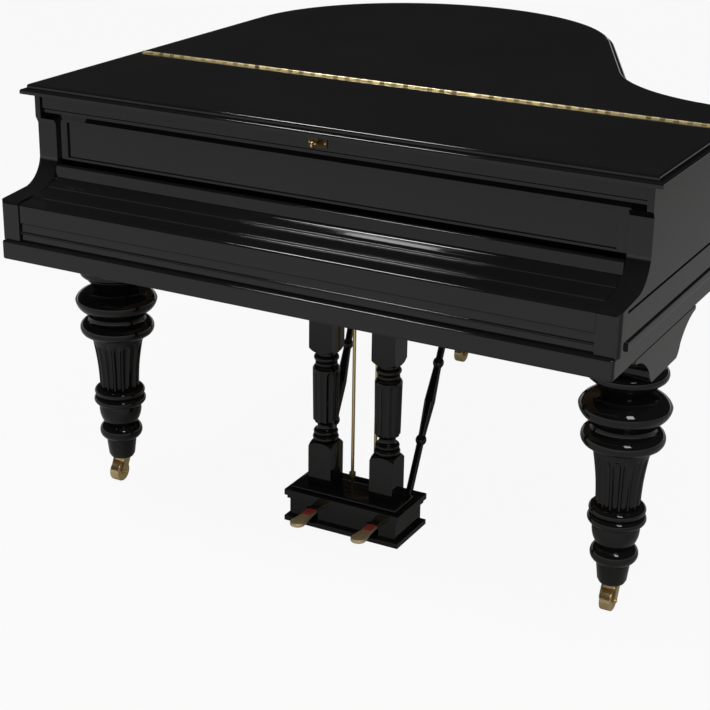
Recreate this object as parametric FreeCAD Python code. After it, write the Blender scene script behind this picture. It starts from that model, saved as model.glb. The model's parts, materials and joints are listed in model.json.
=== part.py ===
"""Small grand piano with turned legs, closed lid and fallboard, lyre and full string works.

Frame: origin on the floor under the middle of the whole box, +X to the treble side, +Y from the keyboard
to the tail, +Z up. Depths are measured from the front edge of the base moulding.
"""
import FreeCAD, Part
import math
import os

Vector = FreeCAD.Vector

# Whole case
LENGTH = 1650.0
CASE_WIDTH = 1465.0
FLOOR_TO_BASE = 657.0
BASE_HEIGHT = 43.0
RIM_HEIGHT = 304.0
RIM_THICKNESS = 50.0
LID_OVERHANG = 22.5
OVERRUN = 5.0
FACE_GAP = 0.4
FIT_CLEARANCE = 0.05

# Plan of the lid
TAIL_RADIUS = 500.0
WAIST_RADIUS = 370.0
WAIST_GAP = 85.0
WAIST_DEPTH = 1150.0
SHOULDER_RADIUS = 150.0

# Lid
LID_FRONT = 126.0
LID_THICKNESS = 22.0
LID_BUMPER_HEIGHT = 2.0
LID_BUMPER_RADIUS = 6.0
LID_LIP_HEIGHT = 11.0
LID_LIP_STEP = 12.0
LID_LIP_ROUND = 5.0
LID_TOP_ROUND = 6.0
FLAP_HINGE_DEPTH = 569.0
FLAP_JOINT_GAP = 1.0

# Continuous hinge between the flap and the lid
FLAP_HINGE_END_MARGIN = 14.0
FLAP_LEAF_WIDTH = 9.0
FLAP_LEAF_THICKNESS = 1.5
FLAP_PIN_HEIGHT = 2.0
FLAP_PIN_RADIUS = 1.2
FLAP_KNUCKLE_RADIUS = 2.6
FLAP_KNUCKLE_GAP = 0.3
FLAP_KNUCKLES = 37

# Butt hinges along the spine
LID_HINGE_SHARES = (0.16, 0.53, 0.90)
LID_HINGE_LENGTH = 90.0
LID_KNUCKLE_RADIUS = 3.5
LID_PIN_RADIUS = 1.6
LID_PIN_DROP = 4.5
LID_LEAF_THICKNESS = 2.5
LID_LEAF_WIDTH = 34.0

# Base moulding, keybed and belt moulding
BASE_INSET = 5.0
BASE_WIDTH = 60.0
BASE_CORNER_RADIUS = 8.0
BASE_EDGE_ROUND = 4.0
KEYBED_BACK = 650.0
KEYBED_LIFT = 5.0
BELT_PROUD = 5.0
BELT_BOTTOM = 4.0
BELT_HEIGHT = 21.0
BELT_ROUND = 4.5
BELT_FRONT = 46.0
RIM_GROOVE_HEIGHT = 6.0
RIM_GROOVE_DEPTH = 3.0
RIM_GROOVE_BOTTOM = 81.0

# Arms at the keyboard ends
ARM_BACK = 300.0
ARM_TOP_FRONT = 150.0
ARM_STEP = 8.0
ARM_STEP_TOP = 252.0
ARM_STEP_BOTTOM = 238.0
ARM_SWEEP_TOP = 160.0
ARM_SWEEP_MIDDLE_DEPTH = 140.0
ARM_SWEEP_MIDDLE_HEIGHT = 121.0
ARM_SWEEP_FOOT_DEPTH = 104.0
ARM_SWEEP_FOOT_HEIGHT = 100.0
NOSE_TOP = 92.0
NOSE_FRONT = 10.0
NOSE_TOP_ROUND = 10.0
NOSE_SIDE_ROUND = 12.0
ARM_NOTCH_WIDTH = 36.0

# Front boards
KEY_SLIP_FRONT = 16.0
KEY_SLIP_THICKNESS = 16.0
KEY_SLIP_HEIGHT = 42.0
KEY_SLIP_BEAD_RADIUS = 3.0
BOARD_END_GAP = 1.5
LOCK_RAIL_FRONT = 155.0
LOCK_RAIL_BACK = 190.0
LOCK_RAIL_FASCIA = 31.0
LOCK_RAIL_BEAD = 7.0
LOCK_RAIL_GROOVE = 3.0
LOCK_RAIL_COVE = 14.0
PANEL_FRONT = 167.0
PANEL_BOTTOM = 158.0
PANEL_RAIL = 5.0
PANEL_STILE = 24.0
PANEL_SINK = 5.0
NAMEBOARD_FRONT = 190.5
NAMEBOARD_THICKNESS = 14.0
NAMEBOARD_BOTTOM = 64.0

# Fallboard
FALL_PIVOT_DEPTH = 150.0
FALL_PIVOT_HEIGHT = 112.0
FALL_PIN_RADIUS = 5.0
FALL_PIN_LENGTH = 18.0
# Each row of the section: depth, height, and the depth half way to the next row where that run is round
FALL_TOP_ROWS = ((13.0, 44.0, None), (13.0, 82.0, 13.8), (19.0, 88.0, None), (57.0, 91.5, 59.2),
                 (59.5, 94.0, 59.8), (62.0, 96.5, None), (114.0, 100.5, 116.2), (116.5, 103.0, 116.8),
                 (119.0, 105.5, None), (138.0, 112.0, 146.7), (148.0, 122.0, None), (151.0, 143.0, 151.4),
                 (154.0, 146.0, None), (164.0, 146.0, None))
FALL_UNDER_ROWS = ((164.0, 146.0, None), (164.0, 119.0, 161.4), (145.0, 100.0, None), (112.0, 84.0, None),
                   (29.0, 71.0, None), (29.0, 44.0, None), (13.0, 44.0, None))

# Lock
LOCK_PLATE_WIDTH = 46.0
LOCK_PLATE_HEIGHT = 20.0
LOCK_PLATE_THICKNESS = 2.0
LOCK_HEIGHT_BELOW_RIM = 16.0
LOCK_KEY_RADIUS = 3.0
LOCK_KEY_REACH = 14.0
LOCK_KEY_OUT = 12.0
LOCK_KEY_BOW_RADIUS = 9.0
LOCK_KEY_BOW_THICKNESS = 4.0
LOCK_KEY_EYE_RADIUS = 4.5
LOCK_BOLT_WIDTH = 18.0
LOCK_BOLT_THICKNESS = 8.0
LOCK_BOLT_HEIGHT = 24.0
LOCK_BOLT_TRAVEL = 8.0
LOCK_BOLT_GAP = 0.5
LOCK_POCKET_GAP = 1.8

# Keyboard, with the notes of an octave in small letters for naturals and capitals for the sharps above them
OCTAVE = "cCdDefFgGaAb"
LOWEST_NOTE = "a"
MIDDLE_OCTAVE = 4
NATURALS = 52
KEYS = 88
KEY_END_SPACE = 70.0
KEY_FRONT = 40.0
KEY_HEAD_LENGTH = 52.0
KEY_BACK = 424.0
KEY_TAIL_WIDTH = 12.6
KEY_SIDE_GAP = 1.0
KEY_BOTTOM = 22.0
KEY_TOP = 48.0
SHARP_FRONT = 95.0
SHARP_BACK = 188.0
SHARP_RISE = 11.5
SHARP_TOP_WIDTH = 9.0
SHARP_SLOPE = 6.0
KEY_BALANCE_DEPTH = 238.0
BALANCE_RAIL_WIDTH = 16.0
KEY_RAIL_GAP = 0.5
FRONT_RAIL_START = 46.0
FRONT_RAIL_WIDTH = 30.0
BACK_RAIL_START = 392.0
BACK_RAIL_WIDTH = 26.0
LOW_RAIL_HEIGHT = 8.0
KEY_FRAME_SIDE = 10.0
KEY_END_GAP = 2.0
KEY_BLOCK_FRONT = 36.0
KEY_BLOCK_BACK = 188.0
KEY_BLOCK_TOP = 57.0
KEY_BLOCK_GAP = 8.0

# Hammers and dampers
HAMMER_PIVOT_DEPTH = 278.0
HAMMER_PIVOT_HEIGHT = 143.0
HAMMER_RAIL_DEPTH = 14.0
HAMMER_RAIL_HEIGHT = 12.0
HAMMER_BUTT_GAP = 1.0
HAMMER_SHANK = 6.0
HAMMER_STRIKE_DEPTH = 408.0
HAMMER_STRIKE_GAP = 1.6
HAMMER_SWING_DEGREES = 21.0
HAMMER_HEAD_LENGTH = 22.0
HAMMER_HEAD_WIDTH = 9.0
HAMMER_SHOULDER = 15.0
HAMMER_MOULDING_DROP = 14.0
DAMPERS = 66
DAMPER_FRONT = 432.0
DAMPER_LENGTH = 48.0
DAMPER_WIDTH = 7.0
DAMPER_HEIGHT = 22.0
DAMPER_GAP = 0.6

# Soundboard, bridges, plate and strings
BELLY_FRONT = 434.0
BELLY_THICKNESS = 40.0
INNER_RIM_THICKNESS = 45.0
INNER_RIM_LIFT = 6.0
SOUNDBOARD_BOTTOM = 152.0
SOUNDBOARD_THICKNESS = 8.0
SOUNDBOARD_EDGE_GAP = 0.5
RIB_HEIGHT = 18.0
RIB_WIDTH = 24.0
RIB_COUNT = 8
RIB_FIRST = 560.0
RIB_PITCH = 130.0
RIB_EDGE_GAP = 1.0
POST_HEIGHT = 80.0
POST_WIDTH = 70.0
POST_HEAD_SHARES = (-0.63, -0.22, 0.19, 0.59)
POST_GATHER_SHARE = 0.35
TAIL_BLOCK_REACH = 165.0
TAIL_BLOCK_SIDE = 320.0
PLATE_EDGE_GAP = 4.0
PLATE_BOTTOM = 172.0
PLATE_THICKNESS = 12.0
PLATE_FRONT = 216.0
PLATE_STEP_BACK = 392.0
PLATE_FLANGE_BOTTOM = 190.0
PLATE_FLANGE_THICKNESS = 8.0
PLATE_SIDE_WEB = 60.0
PLATE_TAIL_WEB = 75.0
STRUT_WIDTH = 5.0
STRUT_TOP = 208.0
STRUT_LOW_FRONT = 430.0
STRUT_AFTER_KEYS = (26, 44, 58, 72)
PINBLOCK_DEPTH = 150.0
PINBLOCK_THICKNESS = 38.0
STRING_FRONT = 386.0
STRING_HEIGHT = 200.0
STRING_RADIUS = 0.6
STRING_AFTER_BRIDGE = 70.0
BASS_KEYS = 26
BASS_STRING_LIFT = 12.0
BASS_STRING_RADIUS = 1.6
BASS_BRIDGE_DEPTH = 1380.0
BASS_DRIFT = 160.0
TREBLE_STRING = 54.0
TENOR_STRING = 900.0
BRIDGE_WIDTH = 28.0
BRIDGE_GAP = 0.4
BRIDGE_STEP_KEYS = 10
PIN_RADIUS = 3.4
PIN_HEIGHT = 26.0
PIN_FIRST_DEPTH = 250.0
PIN_ROW_PITCH = 26.0
PIN_ROWS = 4
PIN_STRING_GAP = 0.3

# Music desk
DESK_TRAY_HALF = 525.0
DESK_TRAY_FRONT = 210.0
DESK_TRAY_BACK = 470.0
DESK_TRAY_BOTTOM = 250.0
DESK_TRAY_THICKNESS = 10.0
DESK_BARS = 2
DESK_BAR_MARGIN = 5.0
DESK_BAR_PITCH = 110.0
DESK_BAR_WIDTH = 30.0
DESK_BAR_THICKNESS = 12.0
DESK_HALF_WIDTH = 470.0
DESK_THICKNESS = 16.0
DESK_HEIGHT = 225.0
DESK_PIVOT_DEPTH = 232.0
DESK_LIFT = 2.0
DESK_PIVOT_MARGIN = 5.0
DESK_PIN_RADIUS = 3.0
DESK_PIN_LENGTH = 12.0
DESK_EAR_THICKNESS = 8.0
DESK_EAR_DEPTH = 18.0
DESK_LEDGE = 22.0
DESK_LEDGE_THICKNESS = 6.0
DESK_CORNER_RADIUS = 45.0

# Lid prop
PROP_SIDE_GAP = 24.0
PROP_FOOT_BACK = 52.0
PROP_TIP_SIDE = 82.5
PROP_TIP_DEPTH = 380.0
PROP_LEAN_DEGREES = 50.0
PROP_WIDTH = 22.0
PROP_HEIGHT = 272.0
PROP_FOOT_MARGIN = 14.0
PROP_PIN_RADIUS = 4.0
PROP_BOSS_RADIUS = 10.0
PROP_BOSS_START = 16.5
PROP_BOSS_END = 58.0
PROP_FOOT_PLATE = 40.0
PROP_CUP_RADIUS = 20.0
PROP_CUP_HEIGHT = 3.0
PROP_CUP_X = -9.0
PROP_CUP_DEPTH = 616.0

# Legs
LEG_HALF_SPACING = 651.0
LEG_FRONT_DEPTH = 318.0
LEG_REAR_FROM_TAIL = 155.0
LEG_HEAD_OUT = 76.5
LEG_HEAD_HALF = 186.0
LEG_HEAD_HEIGHT = 87.0
LEG_RADIUS = 101.0
LEG_FLUTES = 16
LEG_FLUTE_DEPTH = 5.0
LEG_FLUTE_LAND_SHARE = 0.24
# Each row of a moulded profile: reach, rise, and the reach half way to the next row where that run is round
LEG_HEAD_SHARES = ((0.37, 0.0, 0.48), (0.52, 0.35, 0.66), (1.0, 0.90, None), (1.0, 1.0, None))
LEG_COLLAR_SHARES = ((0.70, 1.0, 0.86), (0.69, 0.94, None), (0.66, 0.92, 0.56), (0.53, 0.87, None),
                     (0.66, 0.87, 0.91), (0.98, 0.825, 0.93), (0.75, 0.765, None), (0.71, 0.755, 0.68),
                     (0.70, 0.72, 0.89), (0.66, 0.645, None), (0.62, 0.62, None))
LEG_SHAFT_SHARES = ((0.61, 0.62), (0.54, 0.56), (0.50, 0.47), (0.475, 0.37))
LEG_FOOT_SHARES = ((0.52, 0.37, 0.61), (0.54, 0.33, 0.63), (0.50, 0.285, 0.50), (0.38, 0.18, 0.52),
                   (0.37, 0.10, None), (0.32, 0.015, None), (0.28, 0.0, None))

# Casters
CASTER_WHEEL_RADIUS = 25.0
CASTER_WHEEL_WIDTH = 26.0
CASTER_WHEEL_ROUND = 3.0
CASTER_AXLE_RADIUS = 4.0
CASTER_OFFSET = 14.0
CASTER_REST_DEGREES = 180.0
CASTER_FORK_GAP = 1.0
CASTER_FORK_PLATE = 4.0
CASTER_FORK_WIDTH = 22.0
CASTER_CROWN_TOP = 62.0
CASTER_CROWN_THICKNESS = 7.0
CASTER_CROWN_RADIUS = 19.0
CASTER_STEM_RADIUS = 6.0
CASTER_STEM_LENGTH = 40.0
CASTER_SOCKET_RADIUS = 11.0
CASTER_SOCKET_FLANGE = 23.0
CASTER_SOCKET_FLANGE_THICKNESS = 1.6
CASTER_AXLE_HEAD = 2.0

# Lyre
LYRE_DEPTH = 346.0
LYRE_POST_X = 81.0
LYRE_BLOCK = 30.0
LYRE_BLOCK_HEIGHT = 117.0
LYRE_TOP_BLOCK_HEIGHT = 216.0
LYRE_SHOULDER_HEIGHT = 22.0
LYRE_SHOULDER_SHARES = ((1.45, 0.0, 1.30), (0.75, 1.0, None))
LYRE_POST_RADIUS = 32.0
LYRE_FLUTES = 12
LYRE_FLUTE_DEPTH = 3.0
LYRE_TURNING_SHARES = ((0.69, 1.0, None), (0.69, 0.97, 0.92), (0.69, 0.905, None), (0.81, 0.885, None),
                       (0.81, 0.865, None), (0.75, 0.85, None))
LYRE_SHAFT_SHARES = ((0.84, 0.85), (1.0, 0.81), (0.95, 0.30), (0.94, 0.23), (0.72, 0.20))
LYRE_NECK_SHARES = ((0.69, 0.20, 0.61), (0.69, 0.13, 0.90), (0.75, 0.07, 0.96), (0.75, 0.0, None))
LYRE_BOX_HALF = 150.0
LYRE_BOX_FRONT = 272.0
LYRE_BOX_BACK = 420.0
LYRE_BOX_BOTTOM = 28.0
LYRE_BOX_TOP = 108.0
LYRE_BOX_WALL = 14.0
LYRE_BOX_MOULD = 10.0
LYRE_BOX_MOULD_HEIGHT = 14.0
LYRE_BOX_PLINTH = 12.0
LYRE_BOX_STEP = 5.0
LYRE_BOX_STEP_HEIGHT = 9.0
BRACE_X_FOOT = 113.0
BRACE_DEPTH_FOOT = 402.0
BRACE_X_HEAD = 128.0
BRACE_DEPTH_HEAD = 632.0
BRACE_RADIUS = 13.0
BRACE_SHARES = ((0.65, 0.0, None), (0.65, 0.20, 1.0), (0.65, 0.235, None), (1.0, 0.37, None),
                (0.70, 0.505, 1.0), (0.65, 0.54, None), (0.65, 1.0, None))
PEDAL_X = 80.0
PEDAL_WIDTH = 22.0
PEDAL_PAD_WIDTH = 36.0
PEDAL_FRONT = 196.0
PEDAL_PAD_LENGTH = 46.0
PEDAL_BACK = 394.0
PEDAL_THICKNESS = 9.0
PEDAL_BOTTOM = 58.0
PEDAL_PIVOT_DEPTH = 316.0
PEDAL_PIN_RADIUS = 4.0
PEDAL_CHEEK = 10.0
PEDAL_CHEEK_DEPTH = 24.0
PEDAL_SLOT_SIDE = 4.0
PEDAL_SLOT_DROP = 20.0
PEDAL_SLOT_RISE = 6.0
PEDAL_ARM_WIDTH = 16.0
ROD_X = 30.0
ROD_DEPTH = 386.0
ROD_RADIUS = 4.0
ROD_HOLE_GAP = 0.08
ROD_GAP = 0.8
ROD_TOP_DROP = 22.0
ROD_COLLAR_RADIUS = 8.0
ROD_COLLAR_HEIGHT = 10.0
ROD_COLLAR_LIFT = 16.0

# Derived levels and planes
BASE_TOP = FLOOR_TO_BASE + BASE_HEIGHT
RIM_TOP = BASE_TOP + RIM_HEIGHT
LID_BOTTOM = RIM_TOP + LID_BUMPER_HEIGHT
LID_TOP = LID_BOTTOM + LID_THICKNESS
CASE_HALF = CASE_WIDTH / 2
LID_HALF = CASE_HALF + LID_OVERHANG
ARM_INNER = CASE_HALF - RIM_THICKNESS
BOARD_HALF = ARM_INNER - BOARD_END_GAP
KEYBOARD_WIDTH = 2 * (ARM_INNER - KEY_END_SPACE)
NATURAL_PITCH = KEYBOARD_WIDTH / NATURALS
OCTAVE_NATURALS = sum(note.islower() for note in OCTAVE)
SEMITONE = NATURAL_PITCH * OCTAVE_NATURALS / len(OCTAVE)
LOWEST_STEP = OCTAVE.index(LOWEST_NOTE)
LOWEST_NOTE_HEAD = -sum(note.islower() for note in OCTAVE[:LOWEST_STEP]) * NATURAL_PITCH
MIDDLE_KEY = MIDDLE_OCTAVE * len(OCTAVE) - LOWEST_STEP
STRING_Z = BASE_TOP + STRING_HEIGHT
LEG_REAR_X = TAIL_RADIUS - LID_HALF
LEG_REAR_DEPTH = LENGTH - LEG_REAR_FROM_TAIL
TAIL_BLOCK_FRONT = LEG_REAR_DEPTH - TAIL_BLOCK_REACH
LEG_HEAD_BOTTOM = FLOOR_TO_BASE - LEG_HEAD_HEIGHT
LEG_FOOT_BOTTOM = CASTER_CROWN_TOP + FACE_GAP + CASTER_SOCKET_FLANGE_THICKNESS


def at(depth):
    """Y of a depth measured from the front edge of the base moulding."""
    return depth - LENGTH / 2


def level(height):
    """Z of a height measured from the top of the base moulding."""
    return BASE_TOP + height


def box(x, y, z):
    """Box between the two ends given for each axis."""
    size = [span[1] - span[0] for span in (x, y, z)]
    return Part.makeBox(*size, Vector(x[0], y[0], z[0]))


def mirrored(shape):
    """Copy of a shape on the other side of the middle plane."""
    return shape.mirror(Vector(0, 0, 0), Vector(1, 0, 0))


def pair(shape):
    """A treble-side shape with its bass-side twin."""
    return [mirrored(shape), shape]


def fused(shapes):
    """One solid from shapes that overlap or touch."""
    return shapes[0].fuse(shapes[1:]).removeSplitter()


def wire_of(points):
    """Closed wire of straight runs."""
    return Part.makePolygon(list(points) + [points[0]])


def prism_x(points, start, end):
    """Prism along X from (depth, z) corners."""
    wire = wire_of([Vector(start, at(depth), z) for depth, z in points])
    return Part.Face(wire).extrude(Vector(end - start, 0, 0))


def rod(start, end, radius):
    """Round rod between two points."""
    run = end - start
    return Part.makeCylinder(radius, run.Length, start, run)


def line(start, end):
    """Straight edge."""
    return Part.LineSegment(start, end).toShape()


def arc(start, through, end):
    """Round edge through a middle point."""
    return Part.Arc(start, through, end).toShape()


def profile_edges(rows, spot):
    """Edges of a moulded profile, round between two rows where the first gives a half-way reach."""
    edges = []
    for (reach, rise, middle), (next_reach, next_rise, _) in zip(rows, rows[1:]):
        ends = (spot(reach, rise), spot(next_reach, next_rise))
        if middle is None:
            edges.append(line(*ends))
        else:
            edges.append(arc(ends[0], spot(middle, (rise + next_rise) / 2), ends[1]))
    return edges


def turned(rows, radius, bottom, top):
    """Solid turned about Z from the rows of a moulded profile."""
    def spot(reach, rise):
        return Vector(reach * radius, 0, bottom + rise * (top - bottom))

    first = spot(*rows[0][:2])
    last = spot(*rows[-1][:2])
    first_axis = Vector(0, 0, first.z)
    last_axis = Vector(0, 0, last.z)
    edges = [line(first_axis, first)] + profile_edges(rows, spot)
    edges += [line(last, last_axis), line(last_axis, first_axis)]
    return Part.Face(Part.Wire(edges)).revolve(Vector(0, 0, 0), Vector(0, 0, 1), 360)


def export(name, shapes):
    """Write one node from one shape or from a list of separate solids."""
    shape = Part.makeCompound(shapes) if isinstance(shapes, list) else shapes
    shape.exportStep(f"parts/{name}.step")


def plan_points(inset):
    """Centres, radii and touching points of the case plan, drawn in from the lid's edge."""
    half = LID_HALF - inset
    tail = Vector(TAIL_RADIUS - LID_HALF, at(LENGTH) - TAIL_RADIUS, 0)
    waist = Vector(tail.x + TAIL_RADIUS + WAIST_GAP + WAIST_RADIUS, at(WAIST_DEPTH), 0)
    tail_radius = TAIL_RADIUS - inset
    waist_radius = WAIST_RADIUS + inset
    run = waist - tail
    along = Vector(run).normalize()
    across = Vector(-along.y, along.x, 0)
    share = (tail_radius + waist_radius) / run.Length
    touch = along * share + across * math.sqrt(1 - share * share)
    shoulder_x = LID_HALF - SHOULDER_RADIUS
    reach = WAIST_RADIUS + SHOULDER_RADIUS
    drop = math.sqrt(reach ** 2 - (waist.x - shoulder_x) ** 2)
    shoulder = Vector(shoulder_x, waist.y - drop, 0)
    return half, tail, tail_radius, waist, waist_radius, touch, shoulder


def plan_wire(inset, front):
    """Closed plan outline at an inset from the lid's edge, cut square across at a depth."""
    half, tail, tail_radius, waist, waist_radius, touch, shoulder = plan_points(inset)
    front_y = at(front)
    spine_front = Vector(-half, front_y, 0)
    spine_back = Vector(-half, tail.y, 0)
    tail_end = tail + touch * tail_radius
    waist_start = waist - touch * waist_radius
    shoulder_radius = SHOULDER_RADIUS - inset
    towards = Vector(waist - shoulder).normalize()
    if shoulder_radius > OVERRUN:
        waist_end = shoulder + towards * shoulder_radius
        side_back = Vector(half, shoulder.y, 0)
    else:
        waist_end = Vector(half, waist.y - math.sqrt(waist_radius ** 2 - (waist.x - half) ** 2), 0)
        side_back = waist_end
    leave = Vector(waist_end - waist).normalize()
    middle = Vector(leave - touch).normalize()
    edges = [line(spine_front, spine_back)]
    edges.append(arc(spine_back, tail + Vector(0, tail_radius, 0), tail_end))
    edges.append(line(tail_end, waist_start))
    edges.append(arc(waist_start, waist + middle * waist_radius, waist_end))
    if shoulder_radius > OVERRUN:
        turn = Vector(towards + Vector(1, 0, 0)).normalize()
        edges.append(arc(waist_end, shoulder + turn * shoulder_radius, side_back))
    edges.append(line(side_back, Vector(half, front_y, 0)))
    edges.append(line(Vector(half, front_y, 0), spine_front))
    return Part.Wire(edges)


def plan_slab(inset, front, bottom, top):
    """Slab of the case plan between two levels."""
    face = Part.Face(plan_wire(inset, front))
    return face.extrude(Vector(0, 0, top - bottom)).translated(Vector(0, 0, bottom))


def plan_ring(outer, inner, front, bottom, top):
    """Wall of the case plan between two insets, open at the front."""
    return plan_slab(outer, front, bottom, top).cut(plan_slab(inner, front - OVERRUN, bottom, top))


def edges_at_level(shape, z, keep=lambda edge: True):
    """Edges of a shape that lie at one level."""
    found = []
    for edge in shape.Edges:
        bounds = edge.BoundBox
        flat = abs(bounds.ZMin - z) < FIT_CLEARANCE and abs(bounds.ZMax - z) < FIT_CLEARANCE
        if flat and keep(edge):
            found.append(edge)
    return found


def fluted_shaft(rows, girth, bottom, top, flutes, depth):
    """Shaft through sections of radius share and rise share, whose round is hollowed by flutes."""
    wires = []
    land_share = LEG_FLUTE_LAND_SHARE
    for reach_share, rise_share in rows:
        radius = reach_share * girth
        z = bottom + rise_share * (top - bottom)
        corners = []
        for flute in range(flutes):
            start = 2 * math.pi * (flute + land_share / 2) / flutes
            end = 2 * math.pi * (flute + 1 - land_share / 2) / flutes
            middle = (start + end) / 2
            for angle, reach in ((start, radius), (middle, radius - depth), (end, radius)):
                corners.append(Vector(reach * math.cos(angle), reach * math.sin(angle), z))
        wires.append(wire_of(corners))
    return Part.makeLoft(wires, True, True)


def make_rim():
    """Outer rim with its long groove, inner rim with belly rail, posts and the tail block."""
    start = LID_OVERHANG
    groove_bottom = level(RIM_GROOVE_BOTTOM)
    groove_top = groove_bottom + RIM_GROOVE_HEIGHT
    inner = start + RIM_THICKNESS
    rings = [plan_ring(start, inner, ARM_BACK, BASE_TOP, groove_bottom),
             plan_ring(start + RIM_GROOVE_DEPTH, inner, ARM_BACK, groove_bottom, groove_top),
             plan_ring(start, inner, ARM_BACK, groove_top, RIM_TOP)]
    rim = fused(rings)
    for leaf in lid_leaf_boxes():
        rim = rim.cut(leaf)
    export("outer_rim", rim)
    deep = inner + INNER_RIM_THICKNESS
    bottom = BASE_TOP + INNER_RIM_LIFT
    top = level(SOUNDBOARD_BOTTOM)
    belly_back = BELLY_FRONT + BELLY_THICKNESS
    wall = plan_ring(inner, deep, belly_back, bottom, top)
    belly = box((-ARM_INNER, ARM_INNER), (at(BELLY_FRONT), at(belly_back)), (BASE_TOP, top))
    export("inner_rim", [wall, belly])
    inside = plan_slab(deep, belly_back, BASE_TOP, top)
    posts = []
    tail_y = at(LENGTH)
    for head_share in POST_HEAD_SHARES:
        head = head_share * ARM_INNER
        foot = LEG_REAR_X + (head - LEG_REAR_X) * POST_GATHER_SHARE
        half = POST_WIDTH / 2
        corners = [(head - half, at(belly_back)), (head + half, at(belly_back)),
                   (foot + half * POST_GATHER_SHARE, tail_y), (foot - half * POST_GATHER_SHARE, tail_y)]
        wire = wire_of([Vector(x, y, bottom) for x, y in corners])
        bar = Part.Face(wire).extrude(Vector(0, 0, POST_HEIGHT))
        posts.append(bar.common(inside))
    base_inner = LID_OVERHANG + BASE_INSET + BASE_WIDTH
    well = plan_slab(base_inner, TAIL_BLOCK_FRONT, FLOOR_TO_BASE, bottom)
    side = (LEG_REAR_X - TAIL_BLOCK_SIDE, LEG_REAR_X + TAIL_BLOCK_SIDE)
    block = well.common(box(side, (at(TAIL_BLOCK_FRONT), tail_y), (FLOOR_TO_BASE, bottom)))
    export("back_posts", posts + [block])


def lid_hinge_spans():
    """Front and back Y of each spine hinge, spread along the straight of the main leaf."""
    straight = LENGTH - TAIL_RADIUS - FLAP_HINGE_DEPTH
    middles = [at(FLAP_HINGE_DEPTH + share * straight) for share in LID_HINGE_SHARES]
    return [(middle - LID_HINGE_LENGTH / 2, middle + LID_HINGE_LENGTH / 2) for middle in middles]


def lid_leaf_boxes():
    """Case leaves of the spine hinges, sunk in the rim's outer face."""
    x = (-CASE_HALF, -CASE_HALF + LID_LEAF_THICKNESS)
    return [box(x, span, (RIM_TOP - LID_LEAF_WIDTH, RIM_TOP)) for span in lid_hinge_spans()]


def make_base():
    """Base moulding round the keybed, the half-round belt above it and the keybed."""
    outer = LID_OVERHANG + BASE_INSET
    ring = plan_slab(outer, 0, FLOOR_TO_BASE, BASE_TOP)
    corners = [edge for edge in ring.Edges
               if abs(edge.BoundBox.YMax - at(0)) < FIT_CLEARANCE
               and edge.BoundBox.ZLength > BASE_HEIGHT / 2]
    ring = ring.makeFillet(BASE_CORNER_RADIUS, corners)
    edges = edges_at_level(ring, FLOOR_TO_BASE) + edges_at_level(ring, BASE_TOP)
    ring = ring.makeFillet(BASE_EDGE_ROUND, edges)
    ring = ring.cut(plan_slab(outer + BASE_WIDTH, BASE_WIDTH, FLOOR_TO_BASE - OVERRUN, BASE_TOP + OVERRUN))
    bottom = BASE_TOP + BELT_BOTTOM
    top = bottom + BELT_HEIGHT
    belt = plan_slab(LID_OVERHANG - BELT_PROUD, BELT_FRONT, bottom, top)
    rounded = edges_at_level(belt, bottom) + edges_at_level(belt, top)
    belt = belt.makeFillet(BELT_ROUND, rounded)
    belt = belt.cut(plan_slab(LID_OVERHANG, BELT_FRONT - OVERRUN, bottom - OVERRUN, top + OVERRUN))
    export("base_moulding", [ring, belt])
    half = CASE_HALF - BASE_INSET - BASE_WIDTH
    bed = box((-half, half), (at(BASE_WIDTH), at(KEYBED_BACK)), (FLOOR_TO_BASE + KEYBED_LIFT, BASE_TOP))
    bed = bed.common(plan_slab(outer + BASE_WIDTH, BASE_WIDTH, FLOOR_TO_BASE, BASE_TOP))
    for side in (-1, 1):
        spot = Vector(side * ROD_X, at(ROD_DEPTH), FLOOR_TO_BASE - OVERRUN)
        hole = Part.makeCylinder(ROD_RADIUS + ROD_HOLE_GAP, BASE_HEIGHT + 2 * OVERRUN, spot)
        bed = bed.cut(hole)
    export("keybed", bed)


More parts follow.
